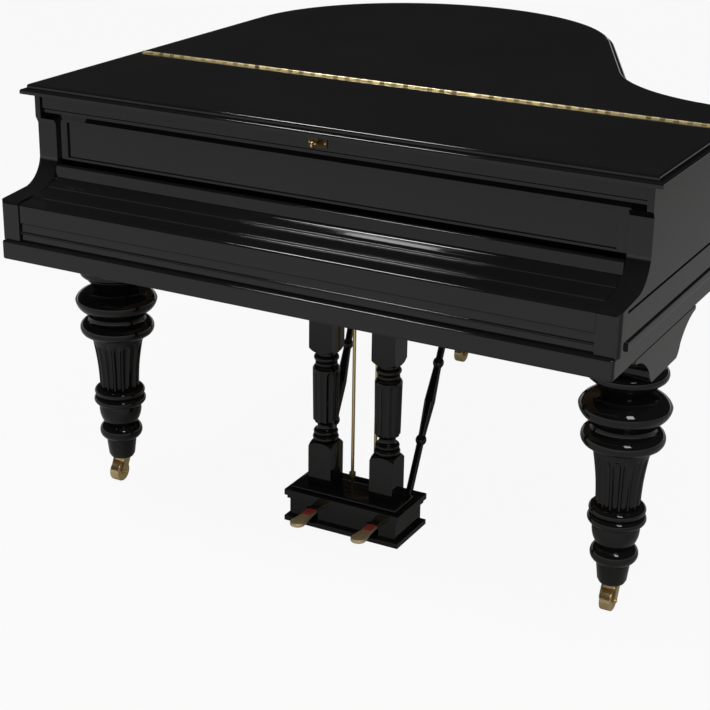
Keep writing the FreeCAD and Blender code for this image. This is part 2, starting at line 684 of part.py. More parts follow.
def make_arms():
    """The two arms: upright cheek, ogee step, sweep and nose."""
    low_front = ARM_TOP_FRONT + ARM_STEP

    def spot(depth, height):
        return Vector(ARM_INNER, at(depth), level(height))

    nose_back = NOSE_FRONT + NOSE_TOP_ROUND
    nose_low = NOSE_TOP - NOSE_TOP_ROUND
    bend = NOSE_TOP_ROUND * (1 - math.sqrt(0.5))
    sweep_middle = spot(ARM_SWEEP_MIDDLE_DEPTH, ARM_SWEEP_MIDDLE_HEIGHT)
    sweep_foot = spot(ARM_SWEEP_FOOT_DEPTH, ARM_SWEEP_FOOT_HEIGHT)
    edges = [line(spot(ARM_BACK, 0), spot(ARM_BACK, RIM_HEIGHT)),
             line(spot(ARM_BACK, RIM_HEIGHT), spot(ARM_TOP_FRONT, RIM_HEIGHT)),
             line(spot(ARM_TOP_FRONT, RIM_HEIGHT), spot(ARM_TOP_FRONT, ARM_STEP_TOP)),
             line(spot(ARM_TOP_FRONT, ARM_STEP_TOP), spot(low_front, ARM_STEP_BOTTOM)),
             line(spot(low_front, ARM_STEP_BOTTOM), spot(low_front, ARM_SWEEP_TOP)),
             arc(spot(low_front, ARM_SWEEP_TOP), sweep_middle, sweep_foot),
             line(sweep_foot, spot(nose_back, NOSE_TOP)),
             arc(spot(nose_back, NOSE_TOP), spot(NOSE_FRONT + bend, NOSE_TOP - bend),
                 spot(NOSE_FRONT, nose_low)),
             line(spot(NOSE_FRONT, nose_low), spot(NOSE_FRONT, 0)),
             line(spot(NOSE_FRONT, 0), spot(ARM_BACK, 0))]
    arm = Part.Face(Part.Wire(edges)).extrude(Vector(RIM_THICKNESS, 0, 0))
    plan = box((ARM_INNER, CASE_HALF), (at(NOSE_FRONT), at(ARM_BACK)), (BASE_TOP, RIM_TOP))
    corner = [edge for edge in plan.Edges
              if edge.BoundBox.ZLength > RIM_HEIGHT / 2 and edge.BoundBox.XMin > CASE_HALF - FIT_CLEARANCE
              and edge.BoundBox.YMax < at(NOSE_FRONT) + FIT_CLEARANCE]
    arm = arm.common(plan.makeFillet(NOSE_SIDE_ROUND, corner))
    groove_bottom = level(RIM_GROOVE_BOTTOM)
    arm = arm.cut(box((CASE_HALF - RIM_GROOVE_DEPTH, CASE_HALF + OVERRUN),
                      (at(BELT_FRONT), at(ARM_BACK + OVERRUN)),
                      (groove_bottom, groove_bottom + RIM_GROOVE_HEIGHT)))
    notch_bottom = RIM_TOP - lock_rail_height()
    arm = arm.cut(box((ARM_INNER - OVERRUN, ARM_INNER + ARM_NOTCH_WIDTH),
                      (at(ARM_TOP_FRONT - OVERRUN), at(LOCK_RAIL_BACK)), (notch_bottom, RIM_TOP + OVERRUN)))
    pivot = Vector(ARM_INNER - OVERRUN, at(FALL_PIVOT_DEPTH), level(FALL_PIVOT_HEIGHT))
    pin_end = pivot + Vector(FALL_PIN_LENGTH + 2 * OVERRUN, 0, 0)
    arm = arm.cut(rod(pivot, pin_end, FALL_PIN_RADIUS + FIT_CLEARANCE))
    left, right = pair(arm)
    export("left_arm", left)
    export("right_arm", right)


def lock_rail_height():
    """Height of the lock rail with its bead and cove."""
    return LOCK_RAIL_FASCIA + LOCK_RAIL_GROOVE + LOCK_RAIL_BEAD + LOCK_RAIL_COVE


def make_front_boards():
    """Key slip, lock rail, sunk front panel and nameboard."""
    slip = box((-BOARD_HALF, BOARD_HALF), (at(KEY_SLIP_FRONT), at(KEY_SLIP_FRONT + KEY_SLIP_THICKNESS)),
               (BASE_TOP, level(KEY_SLIP_HEIGHT)))
    ends = [Vector(side * BOARD_HALF, at(KEY_SLIP_FRONT), level(KEY_SLIP_HEIGHT / 2)) for side in (-1, 1)]
    export("key_slip", fused([slip, rod(*ends, KEY_SLIP_BEAD_RADIUS)]))
    fascia = RIM_TOP - LOCK_RAIL_FASCIA
    groove = fascia - LOCK_RAIL_GROOVE
    bead = groove - LOCK_RAIL_BEAD
    cove = bead - LOCK_RAIL_COVE
    shade = LOCK_RAIL_FRONT + LOCK_RAIL_GROOVE
    deep = shade + LOCK_RAIL_GROOVE
    section = [(LOCK_RAIL_BACK, RIM_TOP), (LOCK_RAIL_FRONT, RIM_TOP), (LOCK_RAIL_FRONT, fascia),
               (deep, fascia), (deep, groove), (shade, groove), (shade, bead), (deep, bead),
               (PANEL_FRONT, cove), (LOCK_RAIL_BACK, cove)]
    rail_half = ARM_INNER + ARM_NOTCH_WIDTH
    rail = prism_x(section, -rail_half, rail_half)
    rail = rail.cut(lock_bolt_box(LOCK_BOLT_GAP, LOCK_BOLT_TRAVEL + OVERRUN))
    rail = rail.cut(lock_key_rod(LOCK_KEY_RADIUS + FIT_CLEARANCE, OVERRUN))
    export("lock_rail", rail)
    bottom = level(PANEL_BOTTOM)
    panel = box((-ARM_INNER, ARM_INNER), (at(PANEL_FRONT), at(LOCK_RAIL_BACK)), (bottom, cove))
    field = box((PANEL_STILE - ARM_INNER, ARM_INNER - PANEL_STILE),
                (at(PANEL_FRONT) - OVERRUN, at(PANEL_FRONT) + PANEL_SINK),
                (bottom + PANEL_RAIL, cove - PANEL_RAIL))
    export("front_panel", panel.cut(field))
    board = box((-ARM_INNER, ARM_INNER), (at(NAMEBOARD_FRONT), at(NAMEBOARD_FRONT + NAMEBOARD_THICKNESS)),
                (level(NAMEBOARD_BOTTOM), RIM_TOP - lock_rail_height()))
    export("nameboard", board)


def make_fallboard():
    """Fallboard with its front lip, two long steps, sweep and the two pivot pins."""
    def spot(depth, height):
        return Vector(-BOARD_HALF, at(depth), level(height))

    edges = profile_edges(FALL_TOP_ROWS, spot) + profile_edges(FALL_UNDER_ROWS, spot)
    board = Part.Face(Part.Wire(edges)).extrude(Vector(2 * BOARD_HALF, 0, 0))
    pins = []
    for side in (-1, 1):
        root = Vector(side * (BOARD_HALF - FALL_PIN_LENGTH), at(FALL_PIVOT_DEPTH), level(FALL_PIVOT_HEIGHT))
        tip = root + Vector(side * (FALL_PIN_LENGTH * 2 + BOARD_END_GAP - OVERRUN), 0, 0)
        pins.append(rod(root, tip, FALL_PIN_RADIUS))
    export("fallboard", fused([board] + pins))


def lock_bolt_box(gap, rise):
    """Space of the lock's bolt, widened by a gap and lengthened upwards."""
    half = LOCK_BOLT_WIDTH / 2 + gap
    front = at(LOCK_RAIL_FRONT + LOCK_KEY_REACH) - gap
    top = RIM_TOP - FACE_GAP
    return box((-half, half), (front, front + LOCK_BOLT_THICKNESS + 2 * gap),
               (top - LOCK_BOLT_HEIGHT - gap, top + gap + rise))


def lock_key_rod(radius, extra):
    """Shank of the lock's key, or its bore."""
    front = Vector(0, at(LOCK_RAIL_FRONT - LOCK_KEY_OUT), RIM_TOP - LOCK_HEIGHT_BELOW_RIM)
    back = front + Vector(0, LOCK_KEY_OUT + LOCK_KEY_REACH - FACE_GAP - LOCK_BOLT_GAP + extra, 0)
    return rod(front, back, radius)


def make_lock():
    """Lock plate on the rail, key with a round bow and the plain bolt it throws."""
    half = LOCK_PLATE_WIDTH / 2
    rise = LOCK_PLATE_HEIGHT / 2
    centre = RIM_TOP - LOCK_HEIGHT_BELOW_RIM
    face = at(LOCK_RAIL_FRONT)
    plate = box((-half, half), (face - LOCK_PLATE_THICKNESS, face), (centre - rise, centre + rise))
    plate = plate.cut(lock_key_rod(LOCK_KEY_RADIUS + FIT_CLEARANCE, 0))
    export("lock_plate", plate)
    export("lock_bolt", lock_bolt_box(0, 0))
    bow_y = face - LOCK_KEY_OUT - LOCK_KEY_BOW_RADIUS + LOCK_KEY_EYE_RADIUS / 2
    root = Vector(-LOCK_KEY_BOW_THICKNESS / 2, bow_y, centre)
    bow = Part.makeCylinder(LOCK_KEY_BOW_RADIUS, LOCK_KEY_BOW_THICKNESS, root, Vector(1, 0, 0))
    eye = Part.makeCylinder(LOCK_KEY_EYE_RADIUS, LOCK_KEY_BOW_THICKNESS, root, Vector(1, 0, 0))
    export("lock_key", fused([bow, lock_key_rod(LOCK_KEY_RADIUS, 0)]).cut(eye))


def make_lid():
    """Lid main leaf and front flap with a stepped, rounded edge."""
    step = LID_BOTTOM + LID_LIP_HEIGHT
    lower = plan_slab(0, LID_FRONT, LID_BOTTOM, step)
    lower = lower.makeFillet(LID_LIP_ROUND, edges_at_level(lower, step))
    upper = plan_slab(LID_LIP_STEP, LID_FRONT + LID_LIP_STEP, step - LID_LIP_ROUND, LID_TOP)
    upper = upper.makeFillet(LID_TOP_ROUND, edges_at_level(upper, LID_TOP))
    lid = fused([lower, upper])
    half_gap = FLAP_JOINT_GAP / 2
    hinge = at(FLAP_HINGE_DEPTH)
    wide = (-LID_HALF - OVERRUN, LID_HALF + OVERRUN)
    tall = (LID_BOTTOM - OVERRUN, LID_TOP + OVERRUN)
    seat_half = flap_hinge_half() + FLAP_KNUCKLE_GAP
    leaf_reach = FLAP_LEAF_WIDTH + flap_leaf_start()
    seat = box((-seat_half, seat_half), (hinge - leaf_reach, hinge + leaf_reach),
               (LID_TOP - FLAP_LEAF_THICKNESS, LID_TOP + OVERRUN))
    lid = lid.cut(seat)
    flap = lid.common(box(wide, (at(LID_FRONT) - OVERRUN, hinge - half_gap), tall))
    flap = flap.cut(lock_bolt_box(LOCK_POCKET_GAP, LOCK_BOLT_TRAVEL + LID_BUMPER_HEIGHT))
    main = lid.common(box(wide, (hinge + half_gap, at(LENGTH) + OVERRUN), tall))
    for leaf in lid_side_leaves():
        main = main.cut(leaf)
    export("lid_flap", flap)
    export("lid_main", main)


def flap_hinge_half():
    """Half the length of the continuous hinge."""
    return LID_HALF - LID_LIP_STEP - FLAP_HINGE_END_MARGIN


def flap_leaf_start():
    """Distance from the hinge line at which a leaf's plate clears the other leaf's knuckles."""
    clear = FLAP_KNUCKLE_RADIUS + FLAP_KNUCKLE_GAP
    return math.sqrt(clear ** 2 - FLAP_PIN_HEIGHT ** 2)


def make_flap_hinge():
    """Two leaves of the continuous hinge, with alternate knuckles on one long pin."""
    half = flap_hinge_half()
    pitch = 2 * half / FLAP_KNUCKLES
    hinge = at(FLAP_HINGE_DEPTH)
    pin_z = LID_TOP + FLAP_PIN_HEIGHT
    start = flap_leaf_start()
    leaves = {-1: [], 1: []}
    for side, pieces in leaves.items():
        reach = sorted((hinge + side * start, hinge + side * (start + FLAP_LEAF_WIDTH)))
        pieces.append(box((-half, half), reach, (LID_TOP - FLAP_LEAF_THICKNESS, LID_TOP)))
    for knuckle in range(FLAP_KNUCKLES):
        side = 1 if knuckle % 2 == 0 else -1
        left = -half + knuckle * pitch + FLAP_KNUCKLE_GAP / 2
        right = left + pitch - FLAP_KNUCKLE_GAP
        barrel = rod(Vector(left, hinge, pin_z), Vector(right, hinge, pin_z), FLAP_KNUCKLE_RADIUS)
        tang_y = sorted((hinge + side * FLAP_JOINT_GAP / 2, hinge + side * (start + FLAP_LEAF_THICKNESS)))
        tang = box((left, right), tang_y, (LID_TOP - FLAP_LEAF_THICKNESS, LID_TOP + FLAP_PIN_HEIGHT / 2))
        leaves[side] += [barrel, tang]
    ends = [Vector(side * half, hinge, pin_z) for side in (-1, 1)]
    pin = rod(*ends, FLAP_PIN_RADIUS)
    bore = rod(*ends, FLAP_PIN_RADIUS + FIT_CLEARANCE)
    export("flap_hinge_rear_leaf", fused(leaves[1] + [pin]))
    export("flap_hinge_front_leaf", fused(leaves[-1]).cut(bore))


def lid_pin_x():
    """X of the spine hinges' pins, just outside the rim."""
    return -CASE_HALF - LID_KNUCKLE_RADIUS - FACE_GAP


def lid_side_leaves():
    """Lid leaves of the spine hinges, sunk in the lid's underside."""
    x = (lid_pin_x() - LID_KNUCKLE_RADIUS, lid_pin_x() + LID_LEAF_WIDTH)
    return [box(x, span, (LID_BOTTOM, LID_BOTTOM + LID_LEAF_THICKNESS)) for span in lid_hinge_spans()]


def make_lid_fittings():
    """Spine hinges with their pins, the prop's cup under the lid and the bumpers on the rim."""
    pin_x = lid_pin_x()
    pin_z = LID_BOTTOM - LID_PIN_DROP
    third = LID_HINGE_LENGTH / 3
    gap = FACE_GAP / 2

    def round_bar(span, radius):
        return rod(Vector(pin_x, span[0], pin_z), Vector(pin_x, span[1], pin_z), radius)

    case_leaves = []
    lid_leaves = []
    for lid_leaf, case_leaf, span in zip(lid_side_leaves(), lid_leaf_boxes(), lid_hinge_spans()):
        front, back = span
        middle = (front + third + gap, back - third - gap)
        neck = box((pin_x - LID_KNUCKLE_RADIUS, pin_x + LID_PIN_RADIUS), middle,
                   (pin_z, LID_BOTTOM + LID_LEAF_THICKNESS))
        knuckle = fused([lid_leaf, round_bar(middle, LID_KNUCKLE_RADIUS), neck])
        lid_leaves.append(knuckle.cut(round_bar(span, LID_PIN_RADIUS + FIT_CLEARANCE)))
        pieces = [case_leaf, round_bar(span, LID_PIN_RADIUS)]
        for end in ((front, front + third - gap), (back - third + gap, back)):
            pieces.append(round_bar(end, LID_KNUCKLE_RADIUS))
            pieces.append(box((pin_x, -CASE_HALF + LID_LEAF_THICKNESS), end,
                              (pin_z - LID_KNUCKLE_RADIUS, pin_z)))
        case_leaves.append(fused(pieces))
    export("lid_hinge_case_leaves", case_leaves)
    cup_foot = Vector(PROP_CUP_X, at(PROP_CUP_DEPTH), LID_BOTTOM - PROP_CUP_HEIGHT)
    cup = Part.makeCylinder(PROP_CUP_RADIUS, PROP_CUP_HEIGHT, cup_foot)
    export("lid_fittings", lid_leaves + [cup])
    middle = CASE_HALF - RIM_THICKNESS / 2
    spots = [(-middle, at(LOCK_RAIL_BACK + BASE_WIDTH)), (middle, at(LOCK_RAIL_BACK + BASE_WIDTH)),
             (middle, at(FLAP_HINGE_DEPTH)), (-middle, at(FLAP_HINGE_DEPTH)),
             (TAIL_RADIUS - LID_HALF, at(LENGTH) - LID_OVERHANG - RIM_THICKNESS / 2)]
    bumpers = []
    for x, y in spots:
        bumpers.append(Part.makeCylinder(LID_BUMPER_RADIUS, LID_BUMPER_HEIGHT, Vector(x, y, RIM_TOP)))
    export("lid_bumpers", bumpers)


def prop_frame():
    """Foot point beside the bent side's straight, tip, direction at rest and swing axis of the lid prop."""
    inset = LID_OVERHANG + RIM_THICKNESS + PROP_SIDE_GAP
    half, tail, tail_radius, waist, waist_radius, touch, shoulder = plan_points(inset)
    forward = Vector(touch.y, -touch.x, 0)
    foot = waist - touch * waist_radius - forward * PROP_FOOT_BACK + Vector(0, 0, level(PROP_HEIGHT))
    tip = Vector(ARM_INNER - PROP_TIP_SIDE, at(PROP_TIP_DEPTH), level(PROP_HEIGHT))
    along = Vector(tip - foot).normalize()
    side = Vector(along.y, -along.x, 0)
    lean = math.radians(PROP_LEAN_DEGREES)
    rise = Vector(0, 0, 1) * math.cos(lean) + side * math.sin(lean)
    return foot, tip, along, along.cross(rise)


def make_prop():
    """Lid prop lying inside the bent side, and the slanted pivot it swings on."""
    foot, tip, along, axis = prop_frame()
    side = Vector(along.y, -along.x, 0) * (PROP_WIDTH / 2)
    start = foot - along * PROP_FOOT_MARGIN
    drop = Vector(0, 0, PROP_WIDTH / 2)
    corners = [start + side, start - side, tip - side, tip + side]
    stick = Part.Face(wire_of([corner - drop for corner in corners])).extrude(drop * 2)
    reach = axis * (PROP_WIDTH * 2)
    stick = stick.cut(rod(foot - reach, foot + reach, PROP_PIN_RADIUS + FIT_CLEARANCE))
    export("lid_prop", stick)
    pin = rod(foot - axis * PROP_WIDTH, foot + axis * PROP_BOSS_END, PROP_PIN_RADIUS)
    boss = rod(foot + axis * PROP_BOSS_START, foot + axis * PROP_BOSS_END, PROP_BOSS_RADIUS)
    end = foot + axis * PROP_BOSS_END
    half = PROP_FOOT_PLATE / 2
    plate_top = level(PLATE_BOTTOM + PLATE_THICKNESS)
    post = box((end.x - half, end.x + half), (end.y - half, end.y + half), (plate_top, end.z))
    export("prop_bracket", fused([post, boss, pin]))


def make_desk():
    """Music desk lying flat on its tray, hinged at its lower edge."""
    bars = []
    for index in range(DESK_BARS):
        depth = DESK_TRAY_FRONT + DESK_BAR_MARGIN + index * DESK_BAR_PITCH
        bars.append(box((-ARM_INNER, ARM_INNER), (at(depth), at(depth + DESK_BAR_WIDTH)),
                        (level(DESK_TRAY_BOTTOM) - DESK_BAR_THICKNESS, level(DESK_TRAY_BOTTOM))))
    top = level(DESK_TRAY_BOTTOM) + DESK_TRAY_THICKNESS
    tray = box((-DESK_TRAY_HALF, DESK_TRAY_HALF), (at(DESK_TRAY_FRONT), at(DESK_TRAY_BACK)),
               (level(DESK_TRAY_BOTTOM), top))
    pivot_z = top + DESK_LIFT + DESK_THICKNESS / 2
    pivot_y = at(DESK_PIVOT_DEPTH)
    ear_inner = DESK_HALF_WIDTH + BOARD_END_GAP
    ears = []
    bores = []
    for side in (-1, 1):
        ear_x = sorted((side * ear_inner, side * (ear_inner + DESK_EAR_THICKNESS)))
        ears.append(box(ear_x, (pivot_y - DESK_EAR_DEPTH / 2, pivot_y + DESK_EAR_DEPTH / 2),
                        (top, pivot_z + DESK_THICKNESS / 2)))
        outer = Vector(side * (ear_inner + DESK_EAR_THICKNESS), pivot_y, pivot_z)
        inner = Vector(side * (DESK_HALF_WIDTH - DESK_PIN_LENGTH), pivot_y, pivot_z)
        ears.append(rod(outer, inner, DESK_PIN_RADIUS))
        deep = Vector(side * (DESK_HALF_WIDTH - DESK_PIN_LENGTH - OVERRUN), pivot_y, pivot_z)
        bores.append(rod(outer, deep, DESK_PIN_RADIUS + FIT_CLEARANCE))
    export("desk_tray", fused([tray] + bars + ears))
    front = pivot_y - DESK_PIVOT_MARGIN
    board = box((-DESK_HALF_WIDTH, DESK_HALF_WIDTH), (front, front + DESK_HEIGHT),
                (pivot_z - DESK_THICKNESS / 2, pivot_z + DESK_THICKNESS / 2))
    corners = [edge for edge in board.Edges
               if edge.BoundBox.YMin > front + DESK_HEIGHT / 2
               and edge.BoundBox.ZLength > DESK_THICKNESS / 2]
    board = board.makeFillet(DESK_CORNER_RADIUS, corners)
    ledge = box((-DESK_HALF_WIDTH + DESK_CORNER_RADIUS, DESK_HALF_WIDTH - DESK_CORNER_RADIUS),
                (front, front + DESK_LEDGE_THICKNESS),
                (pivot_z, pivot_z + DESK_THICKNESS / 2 + DESK_LEDGE))
    desk = fused([board, ledge])
    for bore in bores:
        desk = desk.cut(bore)
    export("music_desk", desk)


def leg_head(flat_side):
    """Square leg head with ogee sides, flat on the side that faces out."""
    def bar(out_rows):
        def left_spot(reach, rise):
            return Vector(-reach * LEG_HEAD_HALF, -LEG_HEAD_HALF, LEG_HEAD_BOTTOM + rise * LEG_HEAD_HEIGHT)

        def right_spot(reach, rise):
            return Vector(reach * LEG_HEAD_HALF, -LEG_HEAD_HALF, LEG_HEAD_BOTTOM + rise * LEG_HEAD_HEIGHT)

        edges = profile_edges(LEG_HEAD_SHARES, left_spot) + profile_edges(out_rows, right_spot)
        for left, right in ((LEG_HEAD_SHARES[0], out_rows[0]), (LEG_HEAD_SHARES[-1], out_rows[-1])):
            edges.append(line(left_spot(*left[:2]), right_spot(*right[:2])))
        face = Part.Face(Part.Wire(Part.__sortEdges__(edges)))
        return face.extrude(Vector(0, 2 * LEG_HEAD_HALF, 0))

    flat_share = LEG_HEAD_OUT / LEG_HEAD_HALF
    across = bar(((flat_share, 0, None), (flat_share, 1, None)))
    along = bar(LEG_HEAD_SHARES)
    along.rotate(Vector(0, 0, 0), Vector(0, 0, 1), 90)
    head = across.common(along)
    head.rotate(Vector(0, 0, 0), Vector(0, 0, 1), flat_side)
    return head


def leg_places():
    """Name, x, y and the direction of the flat side of each leg."""
    return (("left", -LEG_HALF_SPACING, at(LEG_FRONT_DEPTH), 180),
            ("right", LEG_HALF_SPACING, at(LEG_FRONT_DEPTH), 0),
            ("rear", LEG_REAR_X, at(LEG_REAR_DEPTH), 90))


def make_legs():
    """Three turned and fluted legs, each with its head, and the caster sockets."""
    span = (LEG_RADIUS, LEG_FOOT_BOTTOM, LEG_HEAD_BOTTOM)
    shaft = fluted_shaft(LEG_SHAFT_SHARES, *span, LEG_FLUTES, LEG_FLUTE_DEPTH)
    column = fused([turned(LEG_COLLAR_SHARES, *span), shaft, turned(LEG_FOOT_SHARES, *span)])
    socket_top = CASTER_CROWN_TOP + CASTER_STEM_LENGTH + OVERRUN
    flange_bottom = LEG_FOOT_BOTTOM - CASTER_SOCKET_FLANGE_THICKNESS
    root = Vector(0, 0, flange_bottom)
    tube = Part.makeCylinder(CASTER_SOCKET_RADIUS, socket_top - flange_bottom, root)
    column = column.cut(tube)
    flange = Part.makeCylinder(CASTER_SOCKET_FLANGE, CASTER_SOCKET_FLANGE_THICKNESS, root)
    bore = Part.makeCylinder(CASTER_STEM_RADIUS + FIT_CLEARANCE, CASTER_STEM_LENGTH + OVERRUN,
                             Vector(0, 0, CASTER_CROWN_TOP - OVERRUN / 2))
    socket = fused([tube, flange]).cut(bore)
    sockets = []
    for name, x, y, turn in leg_places():
        place = Vector(x, y, 0)
        export(f"leg_{name}", [column.translated(place), leg_head(turn).translated(place)])
        sockets.append(socket.translated(place))
    export("caster_sockets", sockets)


def make_casters():
    """Swivel fork with stem and axle, and the wheel it carries, under each leg."""
    half = CASTER_WHEEL_WIDTH / 2
    axle_y = CASTER_OFFSET
    axle_z = CASTER_WHEEL_RADIUS
    wheel = rod(Vector(-half, axle_y, axle_z), Vector(half, axle_y, axle_z), CASTER_WHEEL_RADIUS)
    rims = [edge for edge in wheel.Edges if edge.BoundBox.XLength < FIT_CLEARANCE]
    wheel = wheel.makeFillet(CASTER_WHEEL_ROUND, rims)
    plate_inner = half + CASTER_FORK_GAP
    plate_outer = plate_inner + CASTER_FORK_PLATE
    tip = plate_outer + CASTER_AXLE_HEAD
    ends = [Vector(side * tip, axle_y, axle_z) for side in (-1, 1)]
    wheel = wheel.cut(rod(*ends, CASTER_AXLE_RADIUS + FIT_CLEARANCE))
    crown_bottom = CASTER_CROWN_TOP - CASTER_CROWN_THICKNESS
    pieces = [rod(*ends, CASTER_AXLE_RADIUS)]
    pieces.append(Part.makeCylinder(CASTER_CROWN_RADIUS, CASTER_CROWN_THICKNESS, Vector(0, 0, crown_bottom)))
    pieces.append(Part.makeCylinder(CASTER_STEM_RADIUS, CASTER_STEM_LENGTH, Vector(0, 0, CASTER_CROWN_TOP)))
    half_width = CASTER_FORK_WIDTH / 2
    for side in (-1, 1):
        x = sorted((side * plate_inner, side * plate_outer))
        corners = [Vector(x[0], -half_width, CASTER_CROWN_TOP), Vector(x[0], half_width, CASTER_CROWN_TOP),
                   Vector(x[0], axle_y + half_width, axle_z + half_width / 2),
                   Vector(x[0], axle_y + half_width / 2, axle_z - half_width / 2),
                   Vector(x[0], axle_y - half_width / 2, axle_z - half_width / 2)]
        pieces.append(Part.Face(wire_of(corners)).extrude(Vector(x[1] - x[0], 0, 0)))
    bridge = box((-plate_outer, plate_outer), (-half_width, half_width), (crown_bottom, CASTER_CROWN_TOP))
    fork = fused(pieces + [bridge])
    for piece in (fork, wheel):
        piece.rotate(Vector(0, 0, 0), Vector(0, 0, 1), CASTER_REST_DEGREES)
    for name, x, y, turn in leg_places():
        place = Vector(x, y, 0)
        export(f"caster_fork_{name}", fork.translated(place))
        export(f"caster_wheel_{name}", wheel.translated(place))


def lyre_block(bottom, top, shoulder_top):
    """Square block of a lyre post with its shoulder turned round towards the turning."""
    x = (-LYRE_BLOCK, LYRE_BLOCK)
    seam = top - LYRE_SHOULDER_HEIGHT
    shoulder = box(x, x, (seam, top)).common(turned(LYRE_SHOULDER_SHARES, LYRE_BLOCK, seam, top))
    block = fused([box(x, x, (bottom, seam)), shoulder])
    if shoulder_top:
        return block
    return block.mirror(Vector(0, 0, (bottom + top) / 2), Vector(0, 0, 1))


def make_lyre():
    """Lyre posts, box, braces, pedals and rods."""
    keybed_bottom = FLOOR_TO_BASE + KEYBED_LIFT
    span = (LYRE_POST_RADIUS, LYRE_BOX_TOP + LYRE_BLOCK_HEIGHT, keybed_bottom - LYRE_TOP_BLOCK_HEIGHT)
    top_block = lyre_block(span[2], keybed_bottom, False)
    low_block = lyre_block(LYRE_BOX_TOP, span[1], True)
    shaft = fluted_shaft(LYRE_SHAFT_SHARES, *span, LYRE_FLUTES, LYRE_FLUTE_DEPTH)
    turnings = [turned(LYRE_TURNING_SHARES, *span), turned(LYRE_NECK_SHARES, *span)]
    post = fused([top_block, shaft, low_block] + turnings)
    places = [Vector(side * LYRE_POST_X, at(LYRE_DEPTH), 0) for side in (-1, 1)]
    export("lyre_posts", [post.translated(place) for place in places])
    export("lyre_box", lyre_box())
    foot = Vector(BRACE_X_FOOT, at(BRACE_DEPTH_FOOT), LYRE_BOX_TOP)
    head = Vector(BRACE_X_HEAD, at(BRACE_DEPTH_HEAD), keybed_bottom)
    run = head - foot
    brace = turned(BRACE_SHARES, BRACE_RADIUS, -OVERRUN, run.Length + OVERRUN)
    turn = FreeCAD.Rotation(Vector(0, 0, 1), run)
    brace.Placement = FreeCAD.Placement(foot, turn)
    reach = 2 * LYRE_BOX_HALF
    between = box((-reach, reach), (at(0), at(KEYBED_BACK)), (LYRE_BOX_TOP, keybed_bottom))
    export("lyre_braces", pair(brace.common(between)))


def lyre_box():
    """Hollow lyre box with moulded edges, pedal slots, rod holes and pivot cheeks."""
    wall = LYRE_BOX_WALL
    x = (-LYRE_BOX_HALF, LYRE_BOX_HALF)
    y = (at(LYRE_BOX_FRONT), at(LYRE_BOX_BACK))
    body = box(x, y, (LYRE_BOX_BOTTOM, LYRE_BOX_TOP))
    plinth_top = LYRE_BOX_BOTTOM + LYRE_BOX_PLINTH
    mould_bottom = LYRE_BOX_TOP - LYRE_BOX_MOULD_HEIGHT
    step_bottom = mould_bottom - LYRE_BOX_STEP_HEIGHT
    bands = ((LYRE_BOX_STEP, (step_bottom, mould_bottom)), (LYRE_BOX_MOULD, (plinth_top, step_bottom)))
    for shrink, tall in bands:
        waist = box((x[0] - OVERRUN, x[1] + OVERRUN), (y[0] - OVERRUN, y[1] + OVERRUN), tall)
        waist = waist.cut(box((x[0] + shrink, x[1] - shrink), (y[0] + shrink, y[1] - shrink), tall))
        body = body.cut(waist)
    inside = LYRE_BOX_MOULD + wall
    hollow = box((x[0] + inside, x[1] - inside), (y[0] + inside, y[1] - inside),
                 (LYRE_BOX_BOTTOM + wall, LYRE_BOX_TOP - wall))
    cheeks = []
    pedal_top = PEDAL_BOTTOM + PEDAL_THICKNESS
    pivot_y = at(PEDAL_PIVOT_DEPTH)
    cheek_y = (pivot_y - PEDAL_CHEEK_DEPTH / 2, pivot_y + PEDAL_CHEEK_DEPTH / 2)
    for side in (-1, 1):
        for flank in (-1, 1):
            near = side * PEDAL_X + flank * (PEDAL_WIDTH / 2 + FACE_GAP)
            cheek_x = sorted((near, near + flank * PEDAL_CHEEK))
            cheeks.append(box(cheek_x, cheek_y, (LYRE_BOX_BOTTOM + wall / 2, pedal_top)))
    body = fused([body.cut(hollow)] + cheeks)
    for side in (-1, 1):
        slot_half = PEDAL_WIDTH / 2 + PEDAL_SLOT_SIDE
        slot = box((side * PEDAL_X - slot_half, side * PEDAL_X + slot_half),
                   (y[0] - OVERRUN, y[0] + inside + OVERRUN),
                   (PEDAL_BOTTOM - PEDAL_SLOT_DROP, pedal_top + PEDAL_SLOT_RISE))
        hole = Part.makeCylinder(ROD_RADIUS + ROD_HOLE_GAP, wall * 2,
                                 Vector(side * ROD_X, at(ROD_DEPTH), LYRE_BOX_TOP - wall - OVERRUN))
        body = body.cut(slot).cut(hole).cut(pedal_pin(side, FIT_CLEARANCE, OVERRUN))
    return body


def pedal_pin(side, gap, extra):
    """Pivot pin of a pedal, or its bore."""
    centre = Vector(side * PEDAL_X, at(PEDAL_PIVOT_DEPTH), PEDAL_BOTTOM + PEDAL_THICKNESS / 2)
    half = Vector(PEDAL_WIDTH / 2 + FACE_GAP + PEDAL_CHEEK + extra, 0, 0)
    return rod(centre - half, centre + half, PEDAL_PIN_RADIUS + gap)


